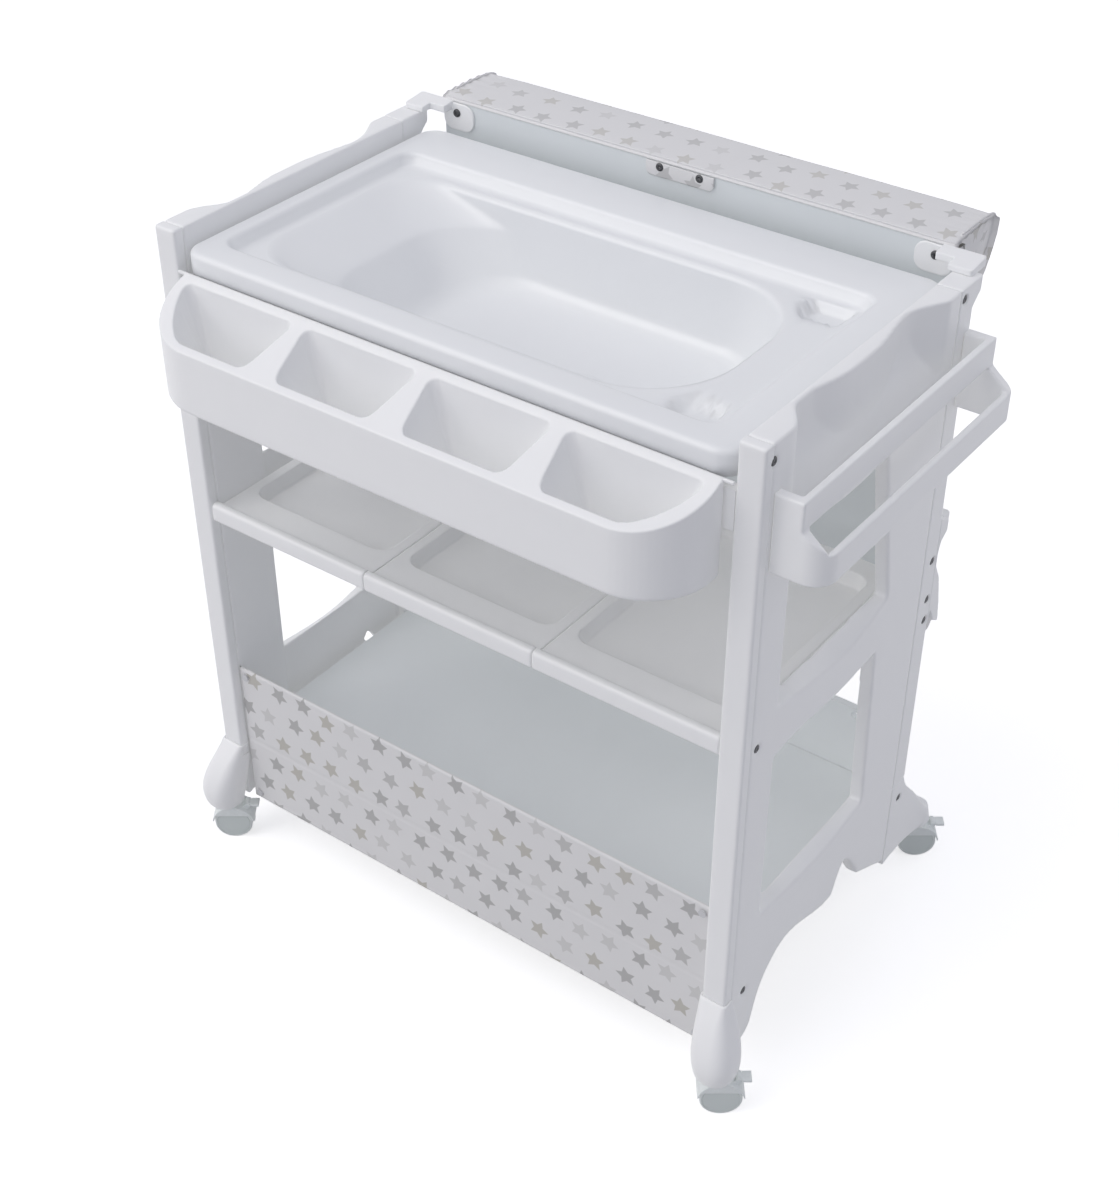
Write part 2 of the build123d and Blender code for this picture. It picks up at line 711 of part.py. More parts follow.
def drain_outlet():
    """The drain fitting in the floor of the tub, with a spigot for a hose."""
    top = deep_floor_z + drain_flange_thickness
    under = deep_floor_z - tub_wall
    body = rod(drain_flange_radius, drain_x, drain_y, deep_floor_z, top)
    body += rod(drain_hole_radius - fit_gap, drain_x, drain_y, under - drain_body_depth, deep_floor_z)
    body += rod(spigot_radius, drain_x, drain_y, under - drain_body_depth - spigot_length, under)
    body -= rod(drain_throat_radius, drain_x, drain_y, under - drain_body_depth / 2, top + overrun)
    return body - rod(spigot_bore_radius, drain_x, drain_y, under - drain_body_depth - spigot_length - overrun,
                      top)


def drain_plug():
    """The plug that is pulled up to empty the tub."""
    top = deep_floor_z + drain_flange_thickness
    plug = rod(plug_radius, drain_x, drain_y, top - plug_height, top + seat_gap)
    plug += rod(plug_cap_radius, drain_x, drain_y, top + seat_gap, top + seat_gap + plug_cap_thickness)
    return plug + rod(plug_knob_radius, drain_x, drain_y, top + plug_cap_thickness,
                      top + plug_cap_thickness + plug_knob_height)


# Organiser tray

def organiser_plan(inset, corner):
    """The tray's plan: a straight rear edge and a front with two wide rounded corners."""
    half = organiser_width / 2 - inset
    rear = -half_depth - seat_gap - inset
    front = organiser_front + inset
    return make_face([
        Line((-half, rear), (half, rear)),
        Line((half, rear), (half, front + corner)),
        RadiusArc((half, front + corner), (half - corner, front), corner),
        Line((half - corner, front), (corner - half, front)),
        RadiusArc((corner - half, front), (-half, front + corner), corner),
        Line((-half, front + corner), (-half, rear)),
    ])


def organiser_tray():
    """The front tray with its row of pockets, a top that slopes forward and two hooks over the rail."""
    height = organiser_top_rear - organiser_bottom
    body = Pos(0, 0, organiser_bottom) * extrude(organiser_plan(0, organiser_corner), height)
    rear = -half_depth - seat_gap
    above = Polyline(
        (rear + overrun, organiser_top_rear),
        (organiser_front - overrun, organiser_top_front),
        (organiser_front - overrun, organiser_top_rear + height),
        (rear + overrun, organiser_top_rear + height),
        close=True,
    )
    body -= extrude(side_face(above, -organiser_width), 2 * organiser_width)
    inner = Pos(0, 0, organiser_bottom + organiser_wall) * extrude(
        organiser_plan(organiser_rim, organiser_corner - organiser_rim), height)
    half = organiser_width / 2 - organiser_rim
    pitch = 2 * half / organiser_pockets
    for index in range(1, organiser_pockets):
        x = -half + index * pitch
        inner -= block(x - organiser_divider / 2, x + organiser_divider / 2, organiser_front, rear,
                       organiser_bottom, organiser_top_rear + height)
    body -= inner
    for side in (-1, 1):
        x = side * organiser_width / 4
        hook_top = cross_rail_top + seat_gap + hook_thickness
        hook = block(x - post_width, x + post_width, rear - fit_gap, panel_front + 2 * hook_thickness,
                     cross_rail_top + seat_gap, hook_top)
        hook += block(x - post_width, x + post_width, panel_front + seat_gap + hook_thickness,
                      panel_front + 2 * hook_thickness + seat_gap, cross_rail_top - hook_depth, hook_top)
        body += hook
    return body


# Middle shelf

def shelf_tray(index):
    """One tray of the middle shelf, with a rounded front bead and a sunk floor."""
    x0 = -inner_face + seat_gap + index * tray_pitch + shelf_seam / 2
    x1 = x0 + tray_pitch - shelf_seam
    mid_x = (x0 + x1) / 2
    plate = block(x0, x1, shelf_front + shelf_bead_depth / 2, shelf_rear, shelf_top - shelf_skin, shelf_top)
    bead_top = shelf_top + shelf_bead_rise
    bead = block(x0, x1, shelf_front, shelf_front + shelf_bead_depth, bead_top - shelf_bead_height, bead_top)
    bead = fillet(bead.edges().filter_by(Axis.X), shelf_bead_depth * 0.42)
    front = shelf_front + shelf_bead_depth + shelf_front_rim
    rear = shelf_rear - shelf_rear_rim
    width = x1 - x0 - 2 * shelf_side_rim
    floor_z = shelf_top - shelf_recess_depth
    pan = rounded_block(width + 2 * shelf_skin, rear - front + 2 * shelf_skin, shelf_recess_depth,
                        shelf_recess_corner + shelf_skin, mid_x, (front + rear) / 2, floor_z - shelf_skin)
    hollow = loft([
        rounded_section(width - 2 * shelf_skin, rear - front - 2 * shelf_skin, shelf_recess_corner, mid_x,
                        (front + rear) / 2, floor_z),
        rounded_section(width, rear - front, shelf_recess_corner, mid_x, (front + rear) / 2, shelf_top + overrun),
    ])
    return plate + bead + pan - hollow


def shelf_rail(front_face):
    """A rail across the frame that carries the shelf trays."""
    top = shelf_top - shelf_skin - seat_gap
    return block(-inner_face + seat_gap, inner_face - seat_gap, front_face, front_face + shelf_rail_depth,
                 top - shelf_rail_height, top)


# Storage box

def floor_board():
    """The board that carries what is stored at the bottom."""
    return block(-inner_face + seat_gap, inner_face - seat_gap,
                 front_panel_face + front_panel_thickness + seat_gap, half_depth - seat_gap,
                 floor_top - floor_thickness, floor_top)


def front_panel():
    """The fabric-covered panel across the front of the storage box."""
    face = front_panel_face
    panel = block(-inner_face + seat_gap, inner_face - seat_gap, face, face + front_panel_thickness,
                  front_panel_bottom, front_panel_top)
    return fillet(panel.edges().filter_by(Axis.X), front_panel_thickness * 0.4)


def front_panel_studs():
    """Press studs that hold the cover at the panel's four corners."""
    face = front_panel_face
    studs = []
    for side in (-1, 1):
        x = side * (inner_face - seat_gap - stud_inset)
        for z in (front_panel_top - stud_inset, front_panel_bottom + stud_inset):
            studs.append(rod_y(stud_radius, x, face - stud_height, face - fit_gap, z))
    return studs


def back_panel():
    """The board across the rear posts, behind the storage box."""
    half = inner_face + back_panel_overlap
    face = half_depth + seat_gap
    panel = block(-half, half, face, face + back_panel_thickness, rear_foot_top + seat_gap, back_panel_top)
    panel += block(seat_gap - inner_face, inner_face - seat_gap, face, face + back_panel_thickness,
                   back_panel_bottom, back_panel_top)
    for side in (-1, 1):
        panel -= rod_y(back_hole_radius, side * back_hole_x, face - overrun, face + back_panel_thickness + overrun,
                       back_panel_top - 2 * back_hole_radius)
    return panel - Compound(back_panel_screw_forms(screw_hole_radius))


def back_panel_screw_forms(shank_radius):
    """The shanks of the back panel's screws, or their holes."""
    forms = []
    for side in (-1, 1):
        x = side * (inner_face + back_panel_overlap / 2)
        for z in (back_panel_top - post_width / 2, rear_foot_top + post_width / 2):
            forms.append(rod_y(shank_radius, x, half_depth - screw_length / 2,
                               half_depth + back_panel_thickness + screw_head_height, z))
    return forms


# Towel rail

def towel_rail():
    """One moulding: an upper bar, a lower bar that stands further out, and two slanted end plates."""
    root = half_width + fit_gap
    upper = half_width + towel_upper_reach
    lower = half_width + towel_lower_reach
    lower_top = towel_top - towel_lower_drop + towel_lower_height
    bottom = towel_top - towel_lower_drop
    plate_plan = Polyline(
        (root, towel_top),
        (upper, towel_top),
        (upper, towel_top - towel_upper_height),
        (lower, lower_top),
        (lower, bottom),
        (root, bottom),
        close=True,
    )
    plane = Plane(origin=(0, towel_front + towel_end_thickness, 0), x_dir=(1, 0, 0), z_dir=(0, -1, 0))
    front_plate = extrude(plane * make_face(plate_plan), towel_end_thickness)
    rear_plate = Pos(0, towel_rear - towel_front - towel_end_thickness, 0) * front_plate
    upper_bar = block(upper - towel_bar_thickness, upper, towel_front, towel_rear,
                      towel_top - towel_upper_height, towel_top)
    lower_bar = block(lower - towel_bar_thickness, lower, towel_front, towel_rear, bottom, lower_top)
    rail = front_plate + rear_plate + upper_bar + lower_bar
    return rail & towel_outline()


def towel_outline():
    """The rail's plan, which rounds the lower bar's corners."""
    lower = half_width + towel_lower_reach
    plan = make_face([
        Line((half_width, towel_front), (lower - towel_front_corner, towel_front)),
        RadiusArc((lower - towel_front_corner, towel_front), (lower, towel_front + towel_front_corner),
                  -towel_front_corner),
        Line((lower, towel_front + towel_front_corner), (lower, towel_rear - towel_rear_corner)),
        RadiusArc((lower, towel_rear - towel_rear_corner), (lower - towel_rear_corner, towel_rear),
                  -towel_rear_corner),
        Line((lower - towel_rear_corner, towel_rear), (half_width, towel_rear)),
        Line((half_width, towel_rear), (half_width, towel_front)),
    ])
    bottom = towel_top - towel_lower_drop
    return Pos(0, 0, bottom - overrun) * extrude(plan, towel_lower_drop + 2 * overrun)


# Changing top

def changer_board():
    """The stiff board under the mat; it faces the tub while it hangs."""
    board = block(-changer_half_length, changer_half_length, changer_front, changer_front + board_thickness,
                  changer_bottom, changer_top - board_top_cover)
    board = fillet(board.edges().filter_by(Axis.Y), post_rounding)
    return board - changer_screw_holes()


def pad_profile():
    """The mat's section as (y, z): a flat middle, a thick bolster along each long edge."""
    back = changer_front + board_thickness + seat_gap
    low = changer_bottom + seat_gap
    high = changer_top
    board_top = changer_top - board_top_cover + seat_gap
    middle = back + pad_base_thickness
    upper = back + pad_top_thickness
    lower = back + pad_bottom_thickness
    crown = pad_rounding * 0.6
    return [
        Line((back, low), (back, board_top)),
        Line((back, board_top), (changer_front, board_top)),
        Line((changer_front, board_top), (changer_front, high - crown)),
        ThreePointArc((changer_front, high - crown), ((changer_front + upper) / 2, high),
                      (upper, high - crown)),
        Spline((upper, high - crown), (upper - pad_rounding, high - pad_bolster_height * 0.3),
               (middle + pad_rounding, high - pad_bolster_height * 0.75), (middle, high - pad_bolster_height * 1.3)),
        Line((middle, high - pad_bolster_height * 1.3), (middle, low + pad_bolster_height * 1.3)),
        Spline((middle, low + pad_bolster_height * 1.3), (middle + pad_rounding, low + pad_bolster_height * 0.7),
               (lower - pad_rounding, low + pad_bolster_height * 0.26), (lower, low + pad_rounding)),
        ThreePointArc((lower, low + pad_rounding), ((back + lower) / 2, low - crown * 0.2), (back, low)),
    ]


def changer_pad():
    """The changing mat: bolstered along both long edges, its ends drawn in."""
    half = changer_half_length + pad_overhang
    middle = extrude(side_face(pad_profile(), -half), 2 * half)
    rear_edges = middle.edges().filter_by(lambda e: abs(abs(e.center().X) - half) < pad_rounding)
    ends = [e for e in rear_edges if e.center().Y > changer_front + board_thickness + pad_rounding]
    return fillet(ends, pad_rounding * 0.5)


def changer_tab():
    """The flap of the mat's cover that is screwed down at the middle of the top edge."""
    bottom = changer_top - tab_height
    tab = block(-tab_width / 2, tab_width / 2, changer_front - fit_gap - tab_thickness, changer_front - fit_gap,
                bottom, changer_top - pad_rounding)
    return tab - changer_screw_holes()


def hanger_bracket():
    """The right-hand bracket that hooks the changing top on the nose of the rear post."""
    face = changer_front - fit_gap
    top = changer_top - board_top_cover
    plate = block(changer_half_length - bracket_plate_width, changer_half_length, face - bracket_plate_thickness,
                  face, top - bracket_plate_height, top)
    corners = plate.edges().filter_by(Axis.Y).sort_by(lambda e: e.center().X + e.center().Z)[:-1]
    plate = fillet(corners, bracket_plate_height * bracket_corner_share)
    under = panel_height + seat_gap
    tongue = extrude(side_face(Polyline(
        (hanger_peg_y - peg_radius * 2, under),
        (face, under),
        (face, under + hanger_tongue_rise),
        (hanger_peg_y - peg_radius * 2, under + hanger_tongue_thickness),
        close=True,
    ), changer_half_length - hanger_tongue_width), hanger_tongue_end - changer_half_length + hanger_tongue_width)
    tongue = fillet(tongue.edges().filter_by(Axis.Z).group_by(Axis.X)[-1], peg_radius)
    tongue -= block(0, tub_width / 2 + 2 * seat_gap, 0, tub_rear + 2 * seat_gap, 0, changer_top)
    peg = rod(peg_radius, hanger_x, hanger_peg_y, panel_height - peg_length, under + fit_gap)
    return plate + tongue + peg - rod_y(screw_hole_radius, changer_half_length - changer_screw_inset,
                                        face - 2 * bracket_plate_thickness, face + overrun,
                                        changer_top - changer_screw_inset)


def stay_bracket():
    """The right-hand lower bracket, which rests on the upper lobe of the guide plate."""
    face = changer_front - fit_gap
    plate = block(changer_half_length - bracket_plate_width, changer_half_length, face - bracket_plate_thickness,
                  face, stay_z - bracket_plate_height / 2, stay_z + bracket_plate_height / 2)
    plate = fillet(plate.edges().filter_by(Axis.Y), bracket_plate_height * bracket_corner_share)
    arm = block(changer_half_length - changer_screw_inset - screw_head_radius, hanger_tongue_end,
                half_depth + guide_reach + seat_gap, face, stay_z - stay_arm_height / 2, stay_z + stay_arm_height / 2)
    arm = fillet(arm.edges().filter_by(Axis.Y).group_by(Axis.X)[-1], peg_radius)
    return plate + arm - rod_y(screw_hole_radius, changer_half_length - changer_screw_inset, half_depth,
                               face + overrun, stay_z)


# Screws

def side_screw_holes():
    """Counterbored holes in the right-hand side, one for each side screw."""
    holes = []
    for y, z in side_screw_places:
        holes.append(rod_x(counterbore_radius, half_width - counterbore_depth, half_width + overrun, y, z))
        holes.append(rod_x(screw_hole_radius, half_width - screw_length - counterbore_depth, half_width, y, z))
    return Compound(holes)


def side_screws():
    """The screws in the right-hand side, heads sunk in their counterbores."""
    screws = []
    face = half_width - counterbore_depth + seat_gap / 3
    for y, z in side_screw_places:
        screw = rod_x(screw_head_radius, face, face + screw_head_height, y, z)
        screw += rod_x(screw_shank_radius, face - screw_length + seat_gap, face, y, z)
        screws.append(screw)
    return screws


def changer_screw_places():
    """The screws on the changing top's underside as (x, face, z): two in the tab and one in each bracket."""
    bracket_face = changer_front - fit_gap - bracket_plate_thickness
    tab_face = changer_front - fit_gap - tab_thickness
    stay_face = half_depth + guide_reach + seat_gap
    places = []
    for side in (-1, 1):
        corner = side * (changer_half_length - changer_screw_inset)
        places.append((corner, bracket_face, changer_top - changer_screw_inset))
        places.append((corner, stay_face, stay_z))
        places.append((side * tab_screw_spacing / 2, tab_face, changer_top - changer_screw_inset / 1.5))
    return places


def changer_screw_holes():
    """The holes for those screws."""
    return Compound([rod_y(screw_hole_radius, x, changer_front - board_thickness, changer_front + board_thickness,
                           z) for x, face, z in changer_screw_places()])


def changer_screws():
    """Those screws, each with its head on the face it holds."""
    screws = []
    for x, face, z in changer_screw_places():
        head = rod_y(screw_head_radius, x, face - screw_head_height, face - fit_gap, z)
        screws.append(head + rod_y(screw_shank_radius, x, face - fit_gap, changer_front + board_thickness / 2, z))
    return screws


def back_panel_screws():
    """The screws that hold the back panel to the rear posts."""
    screws = []
    for shank in back_panel_screw_forms(screw_shank_radius):
        centre = shank.center()
        head_face = half_depth + seat_gap + back_panel_thickness + fit_gap
        screws.append(shank + rod_y(screw_head_radius, centre.X, head_face, head_face + screw_head_height, centre.Z))
    return screws


def build():
    """Every piece by its name."""
    pieces = {}
    panel = side_panel()
    post = rear_post() - Compound(back_panel_screw_forms(screw_hole_radius))
    pairs = {
        "side_panel": panel,
        "front_post": front_post() - side_screw_holes(),
        "rear_post": post,
        "front_foot": front_foot(),
        "rear_foot": rear_foot(),
        "guide_plate": guide_plate(),
        "hanger_bracket": hanger_bracket(),
        "stay_bracket": stay_bracket(),
        "side_screws": Compound([s.solid() for s in side_screws()]),
    }
    for name, shape in pairs.items():
        pieces[name + "_right"] = shape
        pieces[name + "_left"] = left_of(shape)
    pieces["front_cross_rail"] = cross_rail(panel_front - cross_rail_thickness)
    pieces["rear_cross_rail"] = cross_rail(panel_rear + seat_gap)
    for index, name in enumerate(["left", "middle", "right"]):
        pieces["shelf_tray_" + name] = shelf_tray(index)
    pieces["shelf_rail_front"] = shelf_rail(shelf_front + shelf_bead_depth + seat_gap)
    pieces["shelf_rail_rear"] = shelf_rail(shelf_rear - shelf_rail_depth)
    pieces["organiser_tray"] = organiser_tray()
    pieces["tub"] = tub()
    pieces["drain_outlet"] = drain_outlet()
    pieces["drain_plug"] = drain_plug()
    pieces["floor_board"] = floor_board()
    pieces["front_panel"] = front_panel()
    pieces["front_panel_studs"] = Compound([s.solid() for s in front_panel_studs()])
    pieces["back_panel"] = back_panel()
    pieces["back_panel_screws"] = Compound([s.solid() for s in back_panel_screws()])
    pieces["towel_rail"] = towel_rail()
    screws = [s.solid() for s in changer_screws()]
    pieces["changer_board"] = changer_board()
    pieces["changer_pad"] = changer_pad()
    pieces["changer_tab"] = changer_tab()
    pieces["changer_screws"] = Compound(screws)
    for corner in castor_places:
        pieces["castor_body_" + corner] = place_castor(castor_body(), corner)
        pieces["castor_axle_" + corner] = place_castor(castor_axle(), corner)
        pieces["castor_wheel_near_" + corner] = place_castor(castor_wheel(1), corner)
        pieces["castor_wheel_far_" + corner] = place_castor(castor_wheel(-1), corner)
        pieces["brake_lever_" + corner] = place_castor(brake_lever(), corner)
    return pieces


def footprint_shift(pieces):
    """The move that brings the middle of the footprint to the origin."""
    box = Compound([shape for shape in pieces.values()]).bounding_box()
    return Pos(-(box.min.X + box.max.X) / 2, -(box.min.Y + box.max.Y) / 2, -box.min.Z)


def main():
    """Write one STEP file for each piece."""
    os.makedirs("parts", exist_ok=True)
    all_pieces = build()
    shift = footprint_shift(all_pieces)
    print("shift", shift.position)
    for name, shape in all_pieces.items():
        export_step(shift * shape, "parts/" + name + ".step")
    print(len(all_pieces), "pieces")


if __name__ == "__main__":
    main()
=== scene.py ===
import json
import math

import bmesh
import bpy
from bpy.props import FloatProperty, FloatVectorProperty, IntProperty, PointerProperty
from mathutils import Matrix, Vector, noise


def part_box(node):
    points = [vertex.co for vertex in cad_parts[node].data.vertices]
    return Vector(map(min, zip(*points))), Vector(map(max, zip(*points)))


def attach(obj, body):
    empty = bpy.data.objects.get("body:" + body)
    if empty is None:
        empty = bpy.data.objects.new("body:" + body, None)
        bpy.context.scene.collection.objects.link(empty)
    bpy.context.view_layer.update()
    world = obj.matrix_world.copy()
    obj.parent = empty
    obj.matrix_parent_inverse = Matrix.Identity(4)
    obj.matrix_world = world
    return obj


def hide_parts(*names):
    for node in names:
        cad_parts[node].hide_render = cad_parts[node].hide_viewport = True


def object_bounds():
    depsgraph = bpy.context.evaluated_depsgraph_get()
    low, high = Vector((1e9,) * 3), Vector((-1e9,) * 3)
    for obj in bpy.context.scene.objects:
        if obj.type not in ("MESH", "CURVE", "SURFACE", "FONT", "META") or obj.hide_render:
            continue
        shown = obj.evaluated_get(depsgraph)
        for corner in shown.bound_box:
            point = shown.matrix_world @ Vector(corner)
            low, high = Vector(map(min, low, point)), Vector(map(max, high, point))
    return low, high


bl_info = {
    "name": "Changing table with bathtub",
    "version": (1, 0, 0),
    "blender": (4, 5, 0),
    "location": "3D View > Sidebar > Changing table",
    "description": "Dresses the wheeled changing table, its tub and its mat in their real finishes",
    "category": "Object",
}

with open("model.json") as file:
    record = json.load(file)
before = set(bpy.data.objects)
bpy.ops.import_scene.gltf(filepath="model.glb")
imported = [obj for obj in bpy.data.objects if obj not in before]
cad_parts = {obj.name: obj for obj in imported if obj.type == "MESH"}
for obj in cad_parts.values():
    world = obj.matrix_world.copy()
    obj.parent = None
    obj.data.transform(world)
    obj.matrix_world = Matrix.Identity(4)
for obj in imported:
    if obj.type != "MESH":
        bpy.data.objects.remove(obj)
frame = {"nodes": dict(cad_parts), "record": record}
CAD_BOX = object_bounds()
NODES = frame["nodes"]
BODY_OF = {node: body for body, nodes in frame["record"]["behaviour"]["bodies"].items() for node in nodes}
SIDES = ("left", "right")
CORNERS = ("front_left", "front_right", "rear_left", "rear_right")
MM = 0.001
# Neighbouring surfaces stand this far apart, as the solids do.
CLEARANCE = 0.3 * MM
# Points closer than this are one point.
WELD = 0.01 * MM
LAMP_COLOUR = (1.0, 0.97, 0.93)


def middle(node):
    """The middle of a node's box."""
    low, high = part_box(node)
    return (low + high) / 2


# The posts set the width and depth that the tub, tray and mat are placed by.
POST_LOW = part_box("front_post_left")[0]
POST_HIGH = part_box("front_post_right")[1]
MID_X = (POST_LOW.x + POST_HIGH.x) / 2
TUB_LOW, TUB_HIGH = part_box("tub")
TRAY_LOW, TRAY_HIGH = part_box("organiser_tray")
MAT_LOW, MAT_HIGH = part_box("changer_pad")
BOARD_LOW, BOARD_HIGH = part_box("changer_board")
PANEL_LOW, PANEL_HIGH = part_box("front_panel")


# Sizes and colours

def length(name, description, default):
    """A length that a user can change, in metres."""
    return FloatProperty(name=name, description=description, default=default, min=0, unit="LENGTH", precision=5)


def small(name, description, default):
    """The same, its usual value written in millimetres."""
    return length(name, description, default * MM)


def share(name, description, default):
    """A number from 0 to 1."""
    return FloatProperty(name=name, description=description, default=default, min=0, max=1, subtype="FACTOR")


def whole(name, description, default):
    """A number of pieces or rounds, at least 1."""
    return IntProperty(name=name, description=description, default=default, min=1)


def angle(name, description, default):
    """An angle written in degrees, kept in radians."""
    return FloatProperty(name=name, description=description, default=math.radians(default), unit="ROTATION",
                         subtype="ANGLE")


def colour(name, description, default):
    """An sRGB colour written as hex, kept as linear."""
    return FloatVectorProperty(name=name, description=description, default=linear(default), size=3, min=0, max=1,
                               subtype="COLOR")


def linear(hex_code):
    """An sRGB hex code as three linear values."""
    channels = [int(hex_code[i:i + 2], 16) / 255 for i in (0, 2, 4)]
    return tuple(c / 12.92 if c <= 0.04045 else ((c + 0.055) / 1.055) ** 2.4 for c in channels)


class ShellSizes(bpy.types.PropertyGroup):
    """How finely the moulded shells are meshed, how soft their edges are, and the screws in them."""
    panel_grain: small("Panel grain", "Mesh size of the side panels", 2.2)
    bar_grain: small("Bar grain", "Mesh size of posts, feet and rails", 1.4)
    tray_grain: small("Tray grain", "Mesh size of thin-walled trays", 1.3)
    castor_grain: small("Castor grain", "Mesh size of castor hoods", 0.7)
    panel_passes: whole("Panel passes", "Rounds of edge softening on panels", 7)
    bar_passes: whole("Bar passes", "Rounds of edge softening on bars", 5)
    tray_passes: whole("Tray passes", "Rounds of edge softening on trays", 3)
    castor_passes: whole("Castor passes", "Rounds of edge softening on castor hoods", 3)
    screw_head: small("Screw head", "Height of the screws' heads", 2.6)
    kept_share: share("Kept faces", "Share of the faces kept after softening", 0.35)


class TubSizes(bpy.types.PropertyGroup):
    """The tub's rim, shelf, back rest and well."""
    wall: small("Wall", "Thickness of the tub's wall", 3)
    rim_rounding: small("Rim rounding", "Radius of the rim's outer edge", 7)
    rim_corner: small("Rim corner", "Corner radius of the rim's plan", 24)
    skirt: small("Skirt", "Height of the turned-down rim", 28)
    rim_left: small("Left rim", "Width of the rim at the head end", 26)
    rim_right: small("Right rim", "Width of the rim at the foot end", 44)
    rim_front: small("Front rim", "Width of the rim at the front", 40)
    rim_rear: small("Rear rim", "Width of the rim at the rear", 75)
    lip_rounding: small("Lip rounding", "Radius where the rim turns into the basin", 7)
    shelf_depth: small("Shelf depth", "Depth of the shallow shelf below the rim", 15)
    shelf_inset: small("Shelf inset", "How far the shelf's wall leans in", 10)
    shelf_corner: small("Shelf corner", "Corner radius of the shelf", 18)
    well_left: small("Well from the left", "Shelf width at the head end", 1)
    well_right: small("Well from the right", "Shelf width at the foot end", 42)
    well_side: small("Well from the sides", "Shelf width at the front and rear", 4)
    head_corner: small("Head corner", "Corner radius of the well at the head end", 58)
    head_growth: small("Head corner growth", "How much rounder the head end is at its foot", 30)
    foot_corner: small("Foot corner", "Corner radius of the well at the foot end", 108)
    foot_least: small("Least foot corner", "Smallest corner radius of the foot end", 40)
    depth: small("Depth", "Depth of the floor below the rim", 106)
    rest_length: small("Back rest", "Length of the gently sloping back rest", 76)
    rest_drop: small("Back rest drop", "How far the back rest falls over its length", 32)
    fall_length: small("Back fall", "Length of the steeper stretch below the back rest", 58)
    side_slope: small("Side slope", "How far the sides come in down to the floor", 10)
    foot_slope: small("Foot slope", "How far the foot end comes in down to the floor", 16)
    floor_rounding: small("Floor rounding", "Radius between the walls and the floor", 14)
    crest: small("Crest", "Radius where the shelf turns down into the well", 6)
    dish_depth: small("Soap dish depth", "Depth of the dishes in the foot end's corners", 11)
    dish_length: small("Soap dish length", "Length of a soap dish", 52)
    dish_width: small("Soap dish width", "Width of a soap dish", 40)
    dish_end_gap: small("Soap dish end gap", "Distance of a dish from the shelf's end", 5)
    dish_side_gap: small("Soap dish side gap", "Distance of a dish from the shelf's side", 4)
    dish_rounding: small("Soap dish rounding", "Width over which a dish's edge falls", 5)


class TraySizes(bpy.types.PropertyGroup):
    """The organiser tray at the front."""
    pockets: whole("Pockets", "Number of pockets", 4)
    corner: small("Corner", "Radius of the tray's two front corners", 74)
    rim: small("Rim", "Width of the rim round the pockets", 9)
    divider: small("Divider", "Width of the walls between pockets", 12)
    pocket_corner: small("Pocket corner", "Corner radius of a pocket's mouth", 12)
    pocket_taper: small("Pocket taper", "How far a pocket narrows in depth towards its floor", 8)
    pocket_lean: small("Pocket lean", "How far a pocket's ends lean in towards its floor", 33)
    pocket_flare: small("Pocket flare", "How far a pocket's ends come in from its rear to its front", 14)
    end_flare: small("End flare", "The same at the two outer ends, inside the tray's round corners", 26)
    end_corner: small("End corner", "Corner radius of the end pockets at the front", 50)
    front_top: small("Front top", "Height of the front rim above the tray's base", 77)
    rear_top: small("Rear top", "Height of the rear rim above the tray's base", 113)
    floor: small("Floor", "Thickness of the floor", 3)
    floor_rounding: small("Floor rounding", "Radius between a pocket's walls and its floor", 14)
    base_rounding: small("Base rounding", "Radius round the tray's base", 5)
    overrun: small("Overrun", "How far the pockets' cutters stand out at the top", 3)
    hook_width: small("Hook width", "Width of the hooks on the cross rail", 60)
    hook_wall: small("Hook wall", "Thickness of the hooks", 2.5)
    hook_drop: small("Hook drop", "How far the hooks reach down behind the rail", 12)
    hook_rounding: small("Hook rounding", "Radius of the hooks' edges", 0.6)
    lip_wall: small("Lip wall", "Thickness of the lip under the tub's rim", 3.5)
    lip_step: small("Lip step", "How far the lip lies below the tray's top", 0.5)
    lip_lap: small("Lip lap", "How far the lip laps over the tray", 2)
    lip_rounding: small("Lip rounding", "Radius of the lip's edges", 1)


class MatSizes(bpy.types.PropertyGroup):
    """The padded mat and its printed cloth."""
    base: small("Base", "Thickness of the mat's middle", 28)
    top_bolster: small("Top bolster", "Thickness of the bolster along the top edge", 83)
    low_bolster: small("Low bolster", "Thickness of the bolster along the lower edge", 58)
    bolster_height: small("Bolster height", "How far a bolster reaches across the mat", 92)
    board_cover: small("Board cover", "How far the mat reaches over the board's top edge", 9)
    board_seat: small("Board seat", "Thickness of the cloth that lies flat on the board", 2)
    crown: small("Crown", "How far the filling lifts the cover between its seams", 4)
    fold: small("Fold", "The size of the soft turns at the bolsters and edges", 10)
    swell: small("Swell", "How far the filling lifts the cover here and there", 1.1)
    end_rounding: small("End rounding", "Length over which the mat's ends turn in", 7)
    end_shrink: share("End shrink", "How much thinner the mat is at its ends", 0.03)
    end_pull: small("End pull", "How far the gathers pull in at the mat's ends", 3)
    end_crown: small("End crown", "How far the filling stands out at the ends", 1)
    seam_inset: small("Seam inset", "Distance of the end seams from the mat's ends", 6)
    gather_reach: small("Gather reach", "Distance over which the gathers fade", 22)
    gather_pitch: small("Gather pitch", "Distance between gathers at a seam", 15)
    piping: small("Piping", "Radius of the piping in the seams", 1.4)
    tab_corner: small("Tab corner", "Radius of the flap's lower corners", 7)
    tab_cloth: small("Tab cloth", "Thickness of the flap", 1.2)
    tab_sag: small("Tab sag", "How far the flap bows out between its edges", 0.5)
    tab_ripple: small("Tab ripple", "Depth of the flap's unevenness", 0.35)
    star_pitch: small("Star pitch", "Distance between the printed stars", 41)
    star_radius: small("Star radius", "Radius of a printed star's tips", 14.5)


